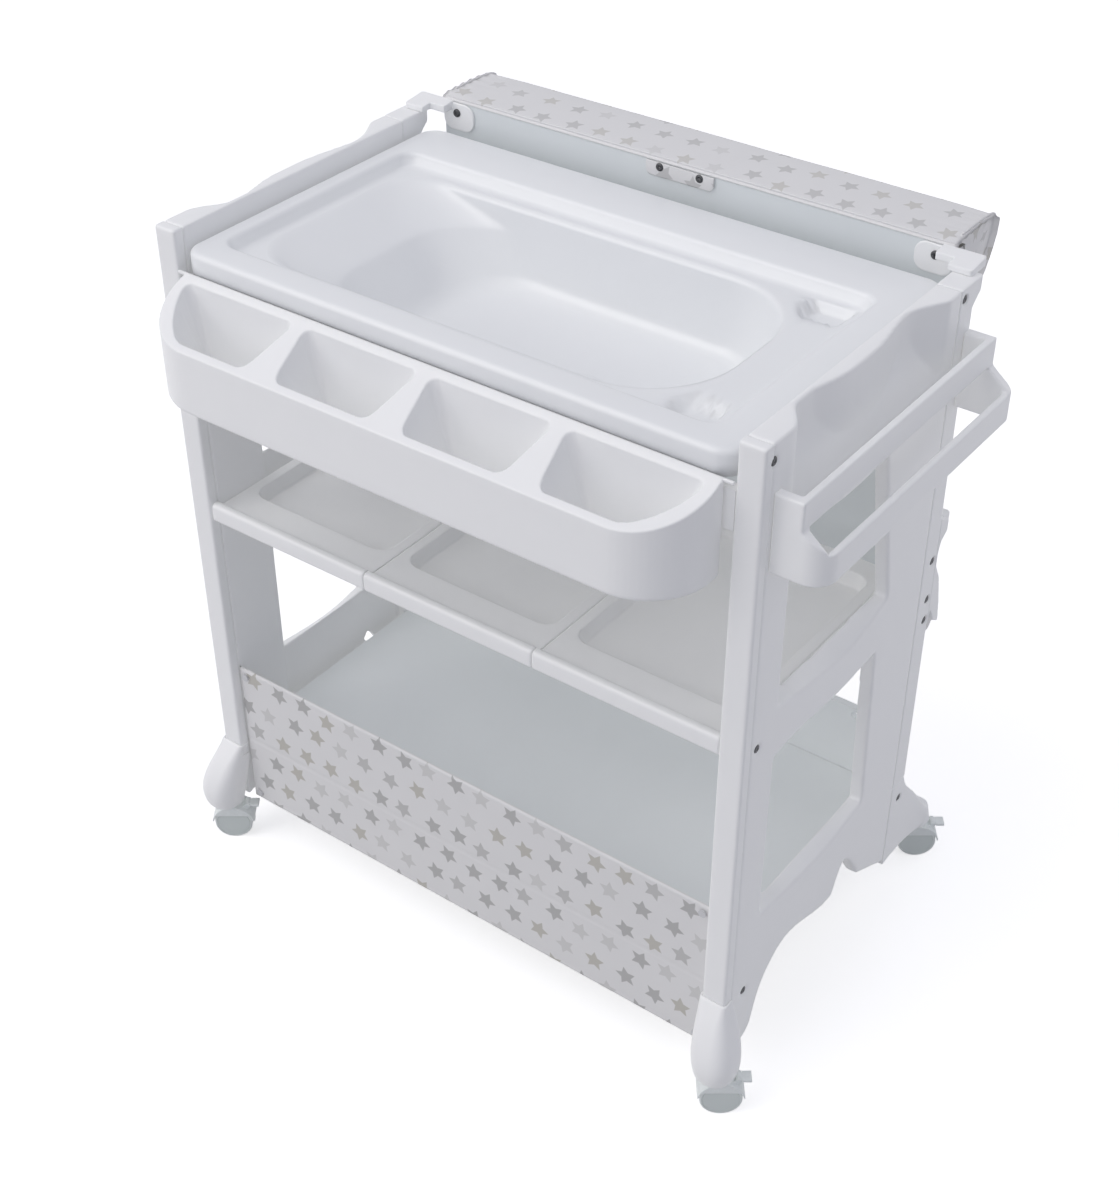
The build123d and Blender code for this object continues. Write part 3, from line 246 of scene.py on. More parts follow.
class CoverSizes(bpy.types.PropertyGroup):
    """The covered panel in front of the storage box."""
    seam: small("Seam", "Height of the seam across the panel", 104)
    seam_width: small("Seam width", "Half width of the seam's groove", 1.6)
    seam_depth: small("Seam depth", "Depth of the seam's groove", 0.9)
    hem: small("Hem", "Distance of the hem's stitches from the top", 9)
    hem_width: small("Hem width", "Half width of the hem's groove", 1.2)
    hem_depth: small("Hem depth", "Depth of the hem's groove", 0.4)
    ripple: small("Ripple", "Depth of the soft ripples", 0.7)
    pucker: small("Pucker", "Depth of the small puckers along the seam", 0.35)
    pucker_pitch: small("Pucker pitch", "Distance between puckers", 9)
    pucker_reach: small("Pucker reach", "Distance over which the puckers fade", 5)
    flat_edge: small("Flat edge", "Width of the edge that lies flat", 8)
    edge_rounding: small("Edge rounding", "Width over which the edge turns round", 2)
    allowance: small("Allowance", "Room kept for the ripples on each face", 0.4)


class Finishes(bpy.types.PropertyGroup):
    """The colours of the materials."""
    plastic: colour("Plastic", "White moulded plastic", "ECEDEE")
    tub: colour("Tub", "Tub plastic", "E7E9EB")
    board: colour("Board", "Painted board", "E3E7E9")
    changer_board: colour("Changer board", "Underside of the changing top", "D9DEE0")
    cloth: colour("Cloth", "Ground of the printed cover", "DADADB")
    star_dark: colour("Dark star", "Darker printed star", "ADADAD")
    star_light: colour("Light star", "Lighter printed star", "C9C9C9")
    star_warm: colour("Warm star", "Warm grey printed star", "B7B5AF")
    hood: colour("Castor hood", "Castor hoods and pedals", "DFE4E4")
    wheel: colour("Castor disc", "Castor wheel discs", "C9D0CF")
    tread: colour("Castor tread", "Castor treads", "DADFDF")
    screw: colour("Screw", "Blackened screws", "4A4B4E")
    axle: colour("Axle", "Bright steel", "B4B5B8")
    stud: colour("Stud", "Press studs", "C6C7CA")
    floor: colour("Floor", "Studio floor", "FFFFFF")


class StageSizes(bpy.types.PropertyGroup):
    """The floor and the camera, which stands at the photograph's place."""
    floor: length("Floor", "Half the width of the studio floor", 12.0)
    lens: FloatProperty(name="Lens", description="Focal length in millimetres", default=56.64, unit="CAMERA")
    sensor: FloatProperty(name="Sensor", description="Sensor width in millimetres", default=36.0, unit="CAMERA")
    camera_right: length("Camera right", "Distance of the camera from the table's middle", 1.0855)
    camera_front: length("Camera front", "Distance of the camera from the front posts", 1.2525)
    camera_height: length("Camera height", "Height of the camera", 1.7759)
    look_down: angle("Look down", "Angle of the view below the horizon", 36.52)
    look_left: angle("Look left", "Angle of the view to the left of straight ahead", 36.5)
    sun_width: angle("Sun width", "How wide the soft distant lamps look", 50)


def settings():
    """The values that the panel shows."""
    return bpy.context.scene.baby_table


class TableSettings(bpy.types.PropertyGroup):
    """All groups of values."""
    shell: PointerProperty(type=ShellSizes)
    tub: PointerProperty(type=TubSizes)
    tray: PointerProperty(type=TraySizes)
    mat: PointerProperty(type=MatSizes)
    cover: PointerProperty(type=CoverSizes)
    stage: PointerProperty(type=StageSizes)
    finish: PointerProperty(type=Finishes)


# Materials

def add(tree, kind, values=None, links=None, **options):
    """Add a node to a tree, with its settings, input values and links."""
    node = tree.nodes.new(kind)
    for key, value in options.items():
        setattr(node, key, value)
    for key, value in (values or {}).items():
        node.inputs[key].default_value = value
    for key, source in (links or {}).items():
        tree.links.new(source, node.inputs[key])
    return node


def new_material(name, base, roughness, ior=1.5, metallic=0.0):
    """A material with its shader, ready for its surface detail."""
    material = bpy.data.materials.new(name)
    material.use_nodes = True
    shader = material.node_tree.nodes["Principled BSDF"]
    shader.inputs["Base Color"].default_value = (*base, 1)
    shader.inputs["Roughness"].default_value = roughness
    shader.inputs["IOR"].default_value = ior
    shader.inputs["Metallic"].default_value = metallic
    return material, material.node_tree, shader


def object_noise(tree, size, detail=2.0):
    """Noise whose blobs are about one size across, in object space."""
    place = add(tree, "ShaderNodeTexCoord").outputs["Object"]
    return add(tree, "ShaderNodeTexNoise", {"Scale": 1 / size, "Detail": detail}, {"Vector": place})


def vary_roughness(tree, shader, source, low, high):
    """Let the gloss wander between two roughness values."""
    span = add(tree, "ShaderNodeMapRange", {"To Min": low, "To Max": high}, {"Value": source})
    tree.links.new(span.outputs["Result"], shader.inputs["Roughness"])


def blend(tree, source, first, second):
    """Two colours mixed by a source, as a link."""
    mix = add(tree, "ShaderNodeMix", {"A": (*first, 1), "B": (*second, 1)}, {"Factor": source}, data_type="RGBA")
    return mix.outputs["Result"]


def tint(tree, shader, source, first, second):
    """Mix two close colours over the surface."""
    tree.links.new(blend(tree, source, first, second), shader.inputs["Base Color"])


def relief(tree, shader, source, distance, strength=1.0, edge=0.0):
    """Bump of a real depth, over edges eased by a small radius."""
    bump = add(tree, "ShaderNodeBump", {"Distance": distance, "Strength": strength}, {"Height": source})
    if edge:
        ease = add(tree, "ShaderNodeBevel", {"Radius": edge}, samples=6)
        tree.links.new(ease.outputs["Normal"], bump.inputs["Normal"])
    tree.links.new(bump.outputs["Normal"], shader.inputs["Normal"])


def shade(base, factor):
    """A colour made lighter or darker."""
    return tuple(min(1.0, c * factor) for c in base)


def worked_surface(name, base, roughness, blotch, depth, tones=None, gloss=None, grain=None, edge=0.0,
                   detail=2.0, ior=1.5, metallic=0.0):
    """A material whose tone and gloss wander over blotches, with a fine grain in relief."""
    material, tree, shader = new_material(name, base, roughness, ior, metallic)
    wander = object_noise(tree, blotch, detail).outputs["Fac"]
    if tones:
        tint(tree, shader, wander, shade(base, tones[0]), shade(base, tones[1]))
    if gloss:
        vary_roughness(tree, shader, wander, *gloss)
    fine = object_noise(tree, grain).outputs["Fac"] if grain else wander
    relief(tree, shader, fine, depth, edge=edge)
    return material


def moulded_polypropylene():
    """Blow-moulded polypropylene: a soft satin sheen over a very fine spark-eroded grain."""
    # The real grain is about 0.1 mm; it is drawn coarser, so that it still breaks up the sheen.
    return worked_surface("moulded_polypropylene", settings().finish.plastic, 0.42, blotch=60 * MM,
                          depth=0.02 * MM, tones=(0.985, 1.015), gloss=(0.38, 0.48), grain=1.2 * MM,
                          edge=1.2 * MM)


def polished_polypropylene():
    """Injection-moulded tub in polished polypropylene: smooth, slightly waxy, with long soft highlights."""
    # Faint sink marks, as thin mouldings have, keep the highlights from being dead straight.
    return worked_surface("polished_polypropylene", settings().finish.tub, 0.3, blotch=90 * MM, depth=0.12 * MM,
                          tones=(0.985, 1.01), gloss=(0.26, 0.36), grain=25 * MM, edge=MM, ior=1.49)


def painted_hardboard(name, base):
    """Hardboard under sprayed paint: flat and even, with a little orange peel in the sheen."""
    return worked_surface(name, base, 0.4, blotch=80 * MM, depth=0.03 * MM, tones=(0.98, 1.02), grain=2.5 * MM,
                          edge=MM)


def math_node(tree, operation, *sources):
    """One arithmetic step on links or numbers."""
    node = add(tree, "ShaderNodeMath", operation=operation)
    for index, source in enumerate(sources):
        if isinstance(source, (int, float)):
            node.inputs[index].default_value = source
        else:
            tree.links.new(source, node.inputs[index])
    return node.outputs["Value"]


def star_print(tree, pitch, radius):
    """Scattered five-pointed stars on a staggered grid; gives where a star is and its random tone."""
    def calc(operation, *sources):
        return math_node(tree, operation, *sources)

    def scattered(position, chance, spread):
        centred = calc("SUBTRACT", calc("FRACT", position), 0.5)
        return calc("ADD", centred, calc("MULTIPLY", calc("SUBTRACT", chance, 0.5), spread))

    row_stagger, spread_along, spread_down = 0.47, 0.2, 0.22
    cloth = add(tree, "ShaderNodeUVMap", uv_map="cloth")
    parts = add(tree, "ShaderNodeSeparateXYZ", links={"Vector": cloth.outputs["UV"]})
    down = calc("DIVIDE", parts.outputs["Y"], pitch)
    row = calc("FLOOR", down)
    stagger = calc("MULTIPLY", calc("MODULO", row, 2.0), row_stagger)
    along = calc("ADD", calc("DIVIDE", parts.outputs["X"], pitch), stagger)
    cell = add(tree, "ShaderNodeCombineXYZ", links={"X": calc("FLOOR", along), "Y": row}).outputs["Vector"]
    chance = add(tree, "ShaderNodeTexWhiteNoise", links={"Vector": cell}, noise_dimensions="3D")
    random = add(tree, "ShaderNodeSeparateColor", links={"Color": chance.outputs["Color"]})
    x = scattered(along, random.outputs["Red"], spread_along)
    y = scattered(down, random.outputs["Green"], spread_down)
    reach = calc("SQRT", calc("ADD", calc("MULTIPLY", x, x), calc("MULTIPLY", y, y)))
    turn = calc("ADD", calc("ARCTAN2", y, x), calc("MULTIPLY", random.outputs["Blue"], 2 * math.pi))
    # Each star is ten mirrored wedges: the turn is folded into one wedge, whose edge is a straight line.
    tip = 2 * math.pi / 5
    folded = calc("ABSOLUTE", calc("SUBTRACT", calc("FLOORED_MODULO", turn, tip), tip / 2))
    outer = radius / pitch
    inner = outer / 2
    edge = calc("DIVIDE", outer * inner * math.sin(tip / 2), calc(
        "ADD", calc("MULTIPLY", calc("SINE", calc("SUBTRACT", tip / 2, folded)), inner),
        calc("MULTIPLY", calc("SINE", folded), outer)))
    soft = add(tree, "ShaderNodeMapRange", {"From Min": -0.02, "From Max": 0.02},
               {"Value": calc("SUBTRACT", edge, reach)}, interpolation_type="SMOOTHSTEP")
    return soft.outputs["Result"], chance.outputs["Value"]


def printed_oilcloth(name, radius, strength):
    """Vinyl-coated cotton with printed stars: soft dull sheen, the weave just showing through the coat."""
    finish = settings().finish
    sizes = settings().mat
    material, tree, shader = new_material(name, finish.cloth, 0.55)
    star, tone = star_print(tree, sizes.star_pitch, radius)
    where = math_node(tree, "MULTIPLY", star, strength)
    ink = add(tree, "ShaderNodeValToRGB", links={"Fac": tone})
    ink.color_ramp.interpolation = "CONSTANT"
    stops = ink.color_ramp.elements
    stops[0].color = (*finish.star_dark, 1)
    stops[1].position = 0.42
    stops[1].color = (*finish.star_warm, 1)
    stops.new(0.64).color = (*finish.star_light, 1)
    stops.new(0.86).color = (*shade(finish.star_dark, 1.15), 1)
    drift = object_noise(tree, 40 * MM)
    ground = blend(tree, drift.outputs["Fac"], shade(finish.cloth, 0.98), shade(finish.cloth, 1.02))
    mix = add(tree, "ShaderNodeMix", links={"Factor": where, "A": ground, "B": ink.outputs["Color"]},
              data_type="RGBA")
    tree.links.new(mix.outputs["Result"], shader.inputs["Base Color"])
    vary_roughness(tree, shader, drift.outputs["Fac"], 0.5, 0.62)
    place = add(tree, "ShaderNodeUVMap", uv_map="cloth")
    # Threads are about 0.4 mm apart; they are drawn at 1 mm, the finest that shows.
    weave = add(tree, "ShaderNodeTexChecker", {"Scale": 1 / MM}, {"Vector": place.outputs["UV"]})
    relief(tree, shader, weave.outputs["Fac"], 0.05 * MM, strength=0.35)
    return material


def mat_oilcloth():
    """The mat's cloth: its stars are a little smaller and washed out by the thicker coat."""
    return printed_oilcloth("mat_oilcloth", settings().mat.star_radius * 0.86, 0.62)


def panel_oilcloth():
    """The front panel's cloth, printed at full strength."""
    return printed_oilcloth("panel_oilcloth", settings().mat.star_radius, 1.0)


def plain_oilcloth():
    """The same coated cotton without print, for piping: its threads show through the coat."""
    return worked_surface("plain_oilcloth", settings().finish.cloth, 0.55, blotch=1.5 * MM, depth=0.08 * MM,
                          tones=(0.93, 1.0))


def glass_filled_nylon(name, base):
    """Moulded glass-filled nylon of the castors: dull and even, scuffed lighter along worn edges."""
    return worked_surface(name, base, 0.5, blotch=5 * MM, depth=0.03 * MM, tones=(0.94, 1.06), grain=0.8 * MM,
                          edge=0.5 * MM, detail=4.0, ior=1.53)


def castor_wheel_nylon(corner):
    """A castor wheel: a grey disc inside a paler tread, told apart by the distance from the axle."""
    finish = settings().finish
    material, tree, shader = new_material("castor_wheel_nylon_" + corner, finish.wheel, 0.45, ior=1.53)
    centre = middle("castor_axle_" + corner)
    place = add(tree, "ShaderNodeTexCoord").outputs["Object"]
    offset = add(tree, "ShaderNodeVectorMath", {1: tuple(centre)}, {0: place}, operation="SUBTRACT")
    away = offset.outputs["Vector"]
    low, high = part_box("castor_wheel_near_" + corner)
    axis = (middle("castor_wheel_near_" + corner) - middle("castor_wheel_far_" + corner)).normalized()
    along = add(tree, "ShaderNodeVectorMath", {1: tuple(axis)}, {0: away}, operation="DOT_PRODUCT")
    reach = add(tree, "ShaderNodeVectorMath", links={0: away}, operation="LENGTH")
    square = math_node(tree, "SUBTRACT", math_node(tree, "POWER", reach.outputs["Value"], 2.0),
                       math_node(tree, "POWER", along.outputs["Value"], 2.0))
    tread, seam = 3 * MM, 0.3 * MM
    start = (high.z - low.z) / 2 - tread
    edge = add(tree, "ShaderNodeMapRange", {"From Min": (start - seam) ** 2, "From Max": start ** 2},
               {"Value": square})
    tint(tree, shader, edge.outputs["Result"], finish.wheel, finish.tread)
    scuff = object_noise(tree, 3 * MM, 4.0)
    relief(tree, shader, scuff.outputs["Fac"], 0.05 * MM, edge=0.6 * MM)
    return material


def blackened_steel():
    """Blackened steel screws: dark, half dull, with bare metal glinting through on the edges."""
    return worked_surface("blackened_steel", settings().finish.screw, 0.4, blotch=1.5 * MM, depth=0.03 * MM,
                          tones=(0.8, 1.3), gloss=(0.32, 0.5), detail=4.0, metallic=0.7)


def drawn_steel():
    """Bright drawn steel wire: fine lines along its length."""
    return worked_surface("drawn_steel", settings().finish.axle, 0.3, blotch=0.6 * MM, depth=0.01 * MM,
                          gloss=(0.22, 0.4), detail=3.0, metallic=1.0)


def acetal_stud():
    """Moulded acetal press studs: small, hard and a little shiny."""
    return worked_surface("acetal_stud", settings().finish.stud, 0.3, blotch=MM, depth=0.02 * MM,
                          tones=(0.97, 1.03), edge=0.3 * MM)


def material(maker, *values):
    """The maker's material, made once; its name is the first value, or else the maker's own."""
    name = values[0] if values else maker.__name__
    return bpy.data.materials.get(name) or maker(*values)


# Meshes

def show(name, data):
    """A new object in the scene."""
    thing = bpy.data.objects.new(name, data)
    bpy.context.scene.collection.objects.link(thing)
    return thing


def new_piece(name, mesh, finish, node, replaces=True):
    """Show a mesh as a piece that rides with a node and, unless told otherwise, stands for it."""
    piece = show(name, mesh)
    mesh.materials.clear()
    mesh.materials.append(finish)
    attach(piece, BODY_OF[node])
    if replaces:
        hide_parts(node)
    return piece


def dress(node, finish):
    """Give a carried-over node its material."""
    mesh = NODES[node].data
    mesh.materials.clear()
    mesh.materials.append(finish)


def evaluated(piece):
    """The piece's mesh with its modifiers applied."""
    graph = bpy.context.evaluated_depsgraph_get()
    return bpy.data.meshes.new_from_object(piece.evaluated_get(graph))


def with_modifiers(mesh, *steps):
    """A mesh after a row of modifiers, each given as its kind and its settings."""
    carrier = show("carrier", mesh)
    for kind, values in steps:
        modifier = carrier.modifiers.new(kind.lower(), kind)
        for key, value in values.items():
            setattr(modifier, key, value)
    result = evaluated(carrier)
    bpy.data.objects.remove(carrier)
    return result


def shaded(mesh, smooth=True):
    """The mesh with all its faces shaded smooth or flat."""
    mesh.polygons.foreach_set("use_smooth", [smooth] * len(mesh.polygons))
    return mesh


def softened(mesh, kind):
    """A mesh remade from even small faces, its edges eased as a moulded shell's are."""
    shell = settings().shell
    grain = getattr(shell, kind + "_grain") * 1
    return shaded(with_modifiers(
        mesh,
        ("REMESH", {"mode": "VOXEL", "voxel_size": grain}),
        ("SMOOTH", {"factor": 0.5, "iterations": getattr(shell, kind + "_passes")}),
        ("DECIMATE", {"ratio": shell.kept_share}),
    ))


def welded(mesh, distance=WELD):
    """The mesh with points that lie closer together than a distance joined."""
    work = bmesh.new()
    work.from_mesh(mesh)
    bmesh.ops.remove_doubles(work, verts=work.verts, dist=distance)
    work.to_mesh(mesh)
    work.free()
    return mesh


def soften_node(node, kind, finish):
    """Show a node as a softened moulding."""
    mesh = softened(welded(NODES[node].data.copy()), kind)
    return new_piece(node + "_moulding", mesh, finish, node)


def mesh_from(name, points, faces, smooth=True):
    """A mesh from points and faces."""
    mesh = bpy.data.meshes.new(name)
    mesh.from_pydata([tuple(p) for p in points], [], faces)
    mesh.validate()
    return shaded(mesh, smooth)


def lay_cloth(mesh, where):
    """Give each point its place on the flat cloth, which the print and the weave follow."""
    cloth = mesh.uv_layers.new(name="cloth")
    for loop in mesh.loops:
        cloth.data[loop.index].uv = where[loop.vertex_index]


def grid_faces(columns, rows, first=0, turned=False):
    """Quads of a grid of points from a first index; turned ones face the other way."""
    faces = []
    for r in range(rows):
        for c in range(columns):
            a = first + r * (columns + 1) + c
            rest = (a + 1, a + columns + 2, a + columns + 1)
            faces.append((a, *reversed(rest)) if turned else (a, *rest))
    return faces


def ring_faces(rings, count, close_first=False, close_last=False):
    """Quads between rings of equal count, and optional end faces."""
    faces = []
    for k in range(rings - 1):
        for i in range(count):
            j = (i + 1) % count
            faces.append((k * count + i, k * count + j, (k + 1) * count + j, (k + 1) * count + i))
    if close_first:
        faces.append(tuple(reversed(range(count))))
    if close_last:
        faces.append(tuple(range((rings - 1) * count, rings * count)))
    return faces


def lofted(name, rings):
    """A closed mesh through rings, with both ends covered."""
    points = [p for ring in rings for p in ring]
    return mesh_from(name, points, ring_faces(len(rings), len(rings[0]), True, True), smooth=False)


def quarter(steps):
    """The angles of a quarter turn in equal steps, with both ends."""
    return [math.radians(90 * i / steps) for i in range(steps + 1)]


def corner_arc(x, y, radius, start, steps):
    """A level quarter circle round a centre, from a start angle in degrees, with both ends."""
    turns = [math.radians(start) + turn for turn in quarter(steps)]
    return [Vector((x + radius * math.cos(turn), y + radius * math.sin(turn), 0)) for turn in turns]


def rounded_ring(x0, x1, y0, y1, left_corner, right_corner, z, long_steps=48, short_steps=24, corner_steps=10):
    """A level rounded rectangle as points, the same number on each stretch whatever its size."""
    points = []
    stretches = [
        ((x0 + left_corner, y0), (x1 - right_corner, y0), long_steps, right_corner, -90),
        ((x1, y0 + right_corner), (x1, y1 - right_corner), short_steps, right_corner, 0),
        ((x1 - right_corner, y1), (x0 + left_corner, y1), long_steps, left_corner, 90),
        ((x0, y1 - left_corner), (x0, y0 + left_corner), short_steps, left_corner, 180),
    ]
    for first, last, steps, corner, start in stretches:
        points += [Vector((*first, 0)).lerp(Vector((*last, 0)), i / steps) for i in range(steps)]
        outward = math.radians(start)
        centre_x = last[0] - corner * math.cos(outward)
        centre_y = last[1] - corner * math.sin(outward)
        points += corner_arc(centre_x, centre_y, corner, start, corner_steps)[:-1]
    for p in points:
        p.z = z
    return points


def smoothstep(t):
    """A soft step from 0 to 1."""
    t = min(1.0, max(0.0, t))
    return t * t * (3 - 2 * t)


def islands(node):
    """The box of each separate solid in a node, as low and high corners."""
    work = bmesh.new()
    work.from_mesh(welded(NODES[node].data.copy()))
    seen = set()
    boxes = []
    for start in work.verts:
        if start in seen:
            continue
        stack = [start]
        seen.add(start)
        group = []
        while stack:
            vert = stack.pop()
            group.append(vert.co.copy())
            for edge in vert.link_edges:
                other = edge.other_vert(vert)
                if other not in seen:
                    seen.add(other)
                    stack.append(other)
        boxes.append((Vector(map(min, zip(*group))), Vector(map(max, zip(*group)))))
    work.free()
    return boxes


# Bathtub

def tub_profile(sizes):
    """The tub's rings from the skirt's lower edge over the rim and down to the floor."""
    top = TUB_HIGH.z
    ease = sizes.rim_rounding
    lip = sizes.lip_rounding
    area = (TUB_LOW.x + sizes.rim_left, TUB_HIGH.x - sizes.rim_right,
            TUB_LOW.y + sizes.rim_front, TUB_HIGH.y - sizes.rim_rear)
    rings = []

    def outer(inset, z):
        corner = sizes.rim_corner - inset
        rings.append(rounded_ring(TUB_LOW.x + inset, TUB_HIGH.x - inset, TUB_LOW.y + inset, TUB_HIGH.y - inset,
                                  corner, corner, z))

    def shelf(inset, z):
        corner = sizes.shelf_corner + max(0.0, -inset)
        rings.append(rounded_ring(area[0] + inset, area[1] - inset, area[2] + inset, area[3] - inset,
                                  corner, corner, z))

    outer(0, top - sizes.skirt)
    outer(0, top - sizes.skirt / 2)
    for turn in quarter(6):
        outer(ease * (1 - math.cos(turn)), top - ease + ease * math.sin(turn))
    outer(sizes.rim_left * 0.6, top)
    for turn in quarter(4):
        shelf(-lip + lip * math.sin(turn), top - lip + lip * math.cos(turn))
    shelf_z = top - sizes.shelf_depth
    for turn in quarter(4):
        shelf(sizes.shelf_inset * (1.3 - math.cos(turn)), shelf_z + lip * 0.8 * (1 - math.sin(turn)))
    across, down = 15, 44
    for step in range(1, across):
        rings.append(well_ring(sizes, area, 0, shelf_z, between=1 - step / across))
    for step in range(down + 1):
        sunk = (sizes.depth - sizes.shelf_depth) * step / down
        rings.append(well_ring(sizes, area, step / down, shelf_z - sunk))
    return rings


def well_ring(sizes, area, share_down, z, between=0.0):
    """One ring of the well; between runs from the shelf's edge (1) to the well's edge (0)."""
    left, right, front, rear = area
    fall = sizes.shelf_inset * 1.3
    height = sizes.depth - sizes.shelf_depth
    down = share_down * height
    floor_start = 1 - sizes.floor_rounding / height
    curl = 0.0
    if share_down > floor_start:
        t = (share_down - floor_start) / (1 - floor_start)
        curl = sizes.floor_rounding * (1 - math.sqrt(max(0.0, 1 - t * t)))
    slide = sizes.rest_length * min(1.0, down / sizes.rest_drop)
    slide += sizes.fall_length * max(0.0, down - sizes.rest_drop) / (height - sizes.rest_drop)
    turned = max(0.0, sizes.crest - down)
    crest = math.sqrt(sizes.crest ** 2 - turned ** 2) if down else 0.0
    inward = sizes.side_slope * share_down + curl + crest
    foot = max(sizes.foot_corner - inward / 2, sizes.foot_least)
    head = sizes.head_corner + sizes.head_growth * smoothstep(share_down * 3)
    ring = rounded_ring(left + fall + sizes.well_left + slide + curl,
                        right - fall - sizes.well_right - sizes.foot_slope * share_down - curl,
                        front + fall + sizes.well_side + inward, rear - fall - sizes.well_side - inward,
                        head, foot, z)
    if between:
        edge = rounded_ring(left + fall, right - fall, front + fall, rear - fall, sizes.shelf_corner,
                            sizes.shelf_corner, z)
        ring = [a.lerp(b, between) for a, b in zip(ring, edge)]
    return ring


def sink_dishes(points, sizes):
    """Sink a soap dish in each corner of the foot end, outside the well."""
    right = TUB_HIGH.x - sizes.rim_right - sizes.shelf_inset - sizes.dish_end_gap
    front = TUB_LOW.y + sizes.rim_front + sizes.shelf_inset + sizes.dish_side_gap
    rear = TUB_HIGH.y - sizes.rim_rear - sizes.shelf_inset - sizes.dish_side_gap
    shelf_z = TUB_HIGH.z - sizes.shelf_depth
    for p in points:
        if abs(p.z - shelf_z) > sizes.wall / 2:
            continue
        along = min(p.x - (right - sizes.dish_length), right - p.x)
        across = max(min(p.y - front, front + sizes.dish_width - p.y),
                     min(rear - p.y, p.y - rear + sizes.dish_width))
        p.z -= sizes.dish_depth * smoothstep(min(along, across) / sizes.dish_rounding)


def build_tub():
    """The tub as one wall thickness, from its rings."""
    sizes = settings().tub
    rings = tub_profile(sizes)
    points = [p for ring in rings for p in ring]
    sink_dishes(points, sizes)
    mesh = mesh_from("tub_wall", points, ring_faces(len(rings), len(rings[0]), close_last=True))
    mesh = shaded(with_modifiers(mesh, ("SOLIDIFY", {"thickness": sizes.wall, "offset": -1})))
    new_piece("tub_moulding", mesh, material(polished_polypropylene), "tub")


# Organiser tray

def tray_top(y, sizes):
    """Height of the tray's sloping top at a depth."""
    t = (y - TRAY_LOW.y) / (POST_LOW.y - TRAY_LOW.y)
    return TRAY_LOW.z + sizes.front_top + (sizes.rear_top - sizes.front_top) * t


def tray_plan(inset, sizes, steps=16):
    """The tray's plan: straight at the rear, with two wide round corners at the front."""
    x0, x1 = TRAY_LOW.x + inset, TRAY_HIGH.x - inset
    y0, y1 = TRAY_LOW.y + inset, POST_LOW.y - CLEARANCE - inset
    corner = sizes.corner - inset
    points = [Vector((x1, y1, 0)), Vector((x0, y1, 0))]
    points += corner_arc(x0 + corner, y0 + corner, corner, 180, steps)
    points += corner_arc(x1 - corner, y0 + corner, corner, 270, steps)
    return points


def pocket_plan(index, sizes, lean, taper):
    """A pocket's plan: a rounded trapezoid that narrows to the front, as the dividers widen there."""
    half = (TRAY_HIGH.x - TRAY_LOW.x) / 2 - sizes.rim
    pitch = 2 * half / sizes.pockets
    left_end, right_end = index == 0, index == sizes.pockets - 1
    left = (TRAY_LOW.x + TRAY_HIGH.x) / 2 - half + index * pitch
    x0 = left + (0 if left_end else sizes.divider / 2) + lean
    x1 = left + pitch - (0 if right_end else sizes.divider / 2) - lean
    y0, y1 = TRAY_LOW.y + sizes.rim + taper, POST_LOW.y - CLEARANCE - sizes.rim - taper
    tight = sizes.pocket_corner - 0.2 * lean
    wide = min(sizes.end_corner, y1 - y0 - tight - MM)
    corners = [(x1, y1, tight, 0), (x0, y1, tight, 90), (x0, y0, wide if left_end else tight, 180),
               (x1, y0, wide if right_end else tight, 270)]
    middle_x = (x0 + x1) / 2
    points = []
    for x, y, radius, start in corners:
        centre_x = x - radius * (1 if start in (0, 270) else -1)
        centre_y = y - radius * (1 if start in (0, 90) else -1)
        points += corner_arc(centre_x, centre_y, radius, start, 12)
    for p in points:
        outer_end = left_end if p.x < middle_x else right_end
        flare = sizes.end_flare if outer_end else sizes.pocket_flare
        p.x -= flare * (y1 - p.y) / (y1 - y0) * (p.x - middle_x) / ((x1 - x0) / 2)
    return points


def at_height(plan, height):
    """A plan's points raised to a height, which may be a function of their depth."""
    return [Vector((p.x, p.y, height(p.y) if callable(height) else height)) for p in plan]


def build_organiser():
    """The tray: a block with a sloping top, from which tapering pockets with round floors are cut."""
    sizes = settings().tray
    rounding = sizes.base_rounding
    block = [at_height(tray_plan(inset * rounding, sizes), TRAY_LOW.z + raised * rounding)
             for inset, raised in ((1, 0), (0.3, 0.3), (0, 1))]
    block.append(at_height(tray_plan(0, sizes), lambda y: tray_top(y, sizes)))
    body = show("organiser_block", lofted("organiser_block", block))
    cutters = []
    for index in range(sizes.pockets):
        rings = []
        for turn in quarter(5):
            curl = sizes.floor_rounding * (1 - math.sin(turn))
            plan = pocket_plan(index, sizes, sizes.pocket_lean + curl, sizes.pocket_taper + curl)
            floor = TRAY_LOW.z + sizes.floor
            rings.append(at_height(plan, floor + sizes.floor_rounding * (1 - math.cos(turn))))
        rings.append(at_height(pocket_plan(index, sizes, 0, 0), lambda y: tray_top(y, sizes) + sizes.overrun))
        cutter = show("pocket", lofted("pocket", rings))
        cutters.append(cutter)
        cut = body.modifiers.new("pocket", "BOOLEAN")
        cut.operation = "DIFFERENCE"
        cut.solver = "EXACT"
        cut.object = cutter
    mesh = evaluated(body)
    for thing in (body, *cutters):
        bpy.data.objects.remove(thing)
    new_piece("organiser_moulding", softened(mesh, "tray"), material(moulded_polypropylene), "organiser_tray")


def tray_bar(name, path, ends, rounding):
    """A bar of the organiser: a path in depth and height, carried between two ends along the width."""
    rings = [[Vector((x, y, z)) for y, z in path] for x in ends]
    mesh = with_modifiers(lofted(name, rings), ("BEVEL", {"width": rounding, "segments": 3}))
    new_piece(name, mesh, material(moulded_polypropylene), "organiser_tray", replaces=False)


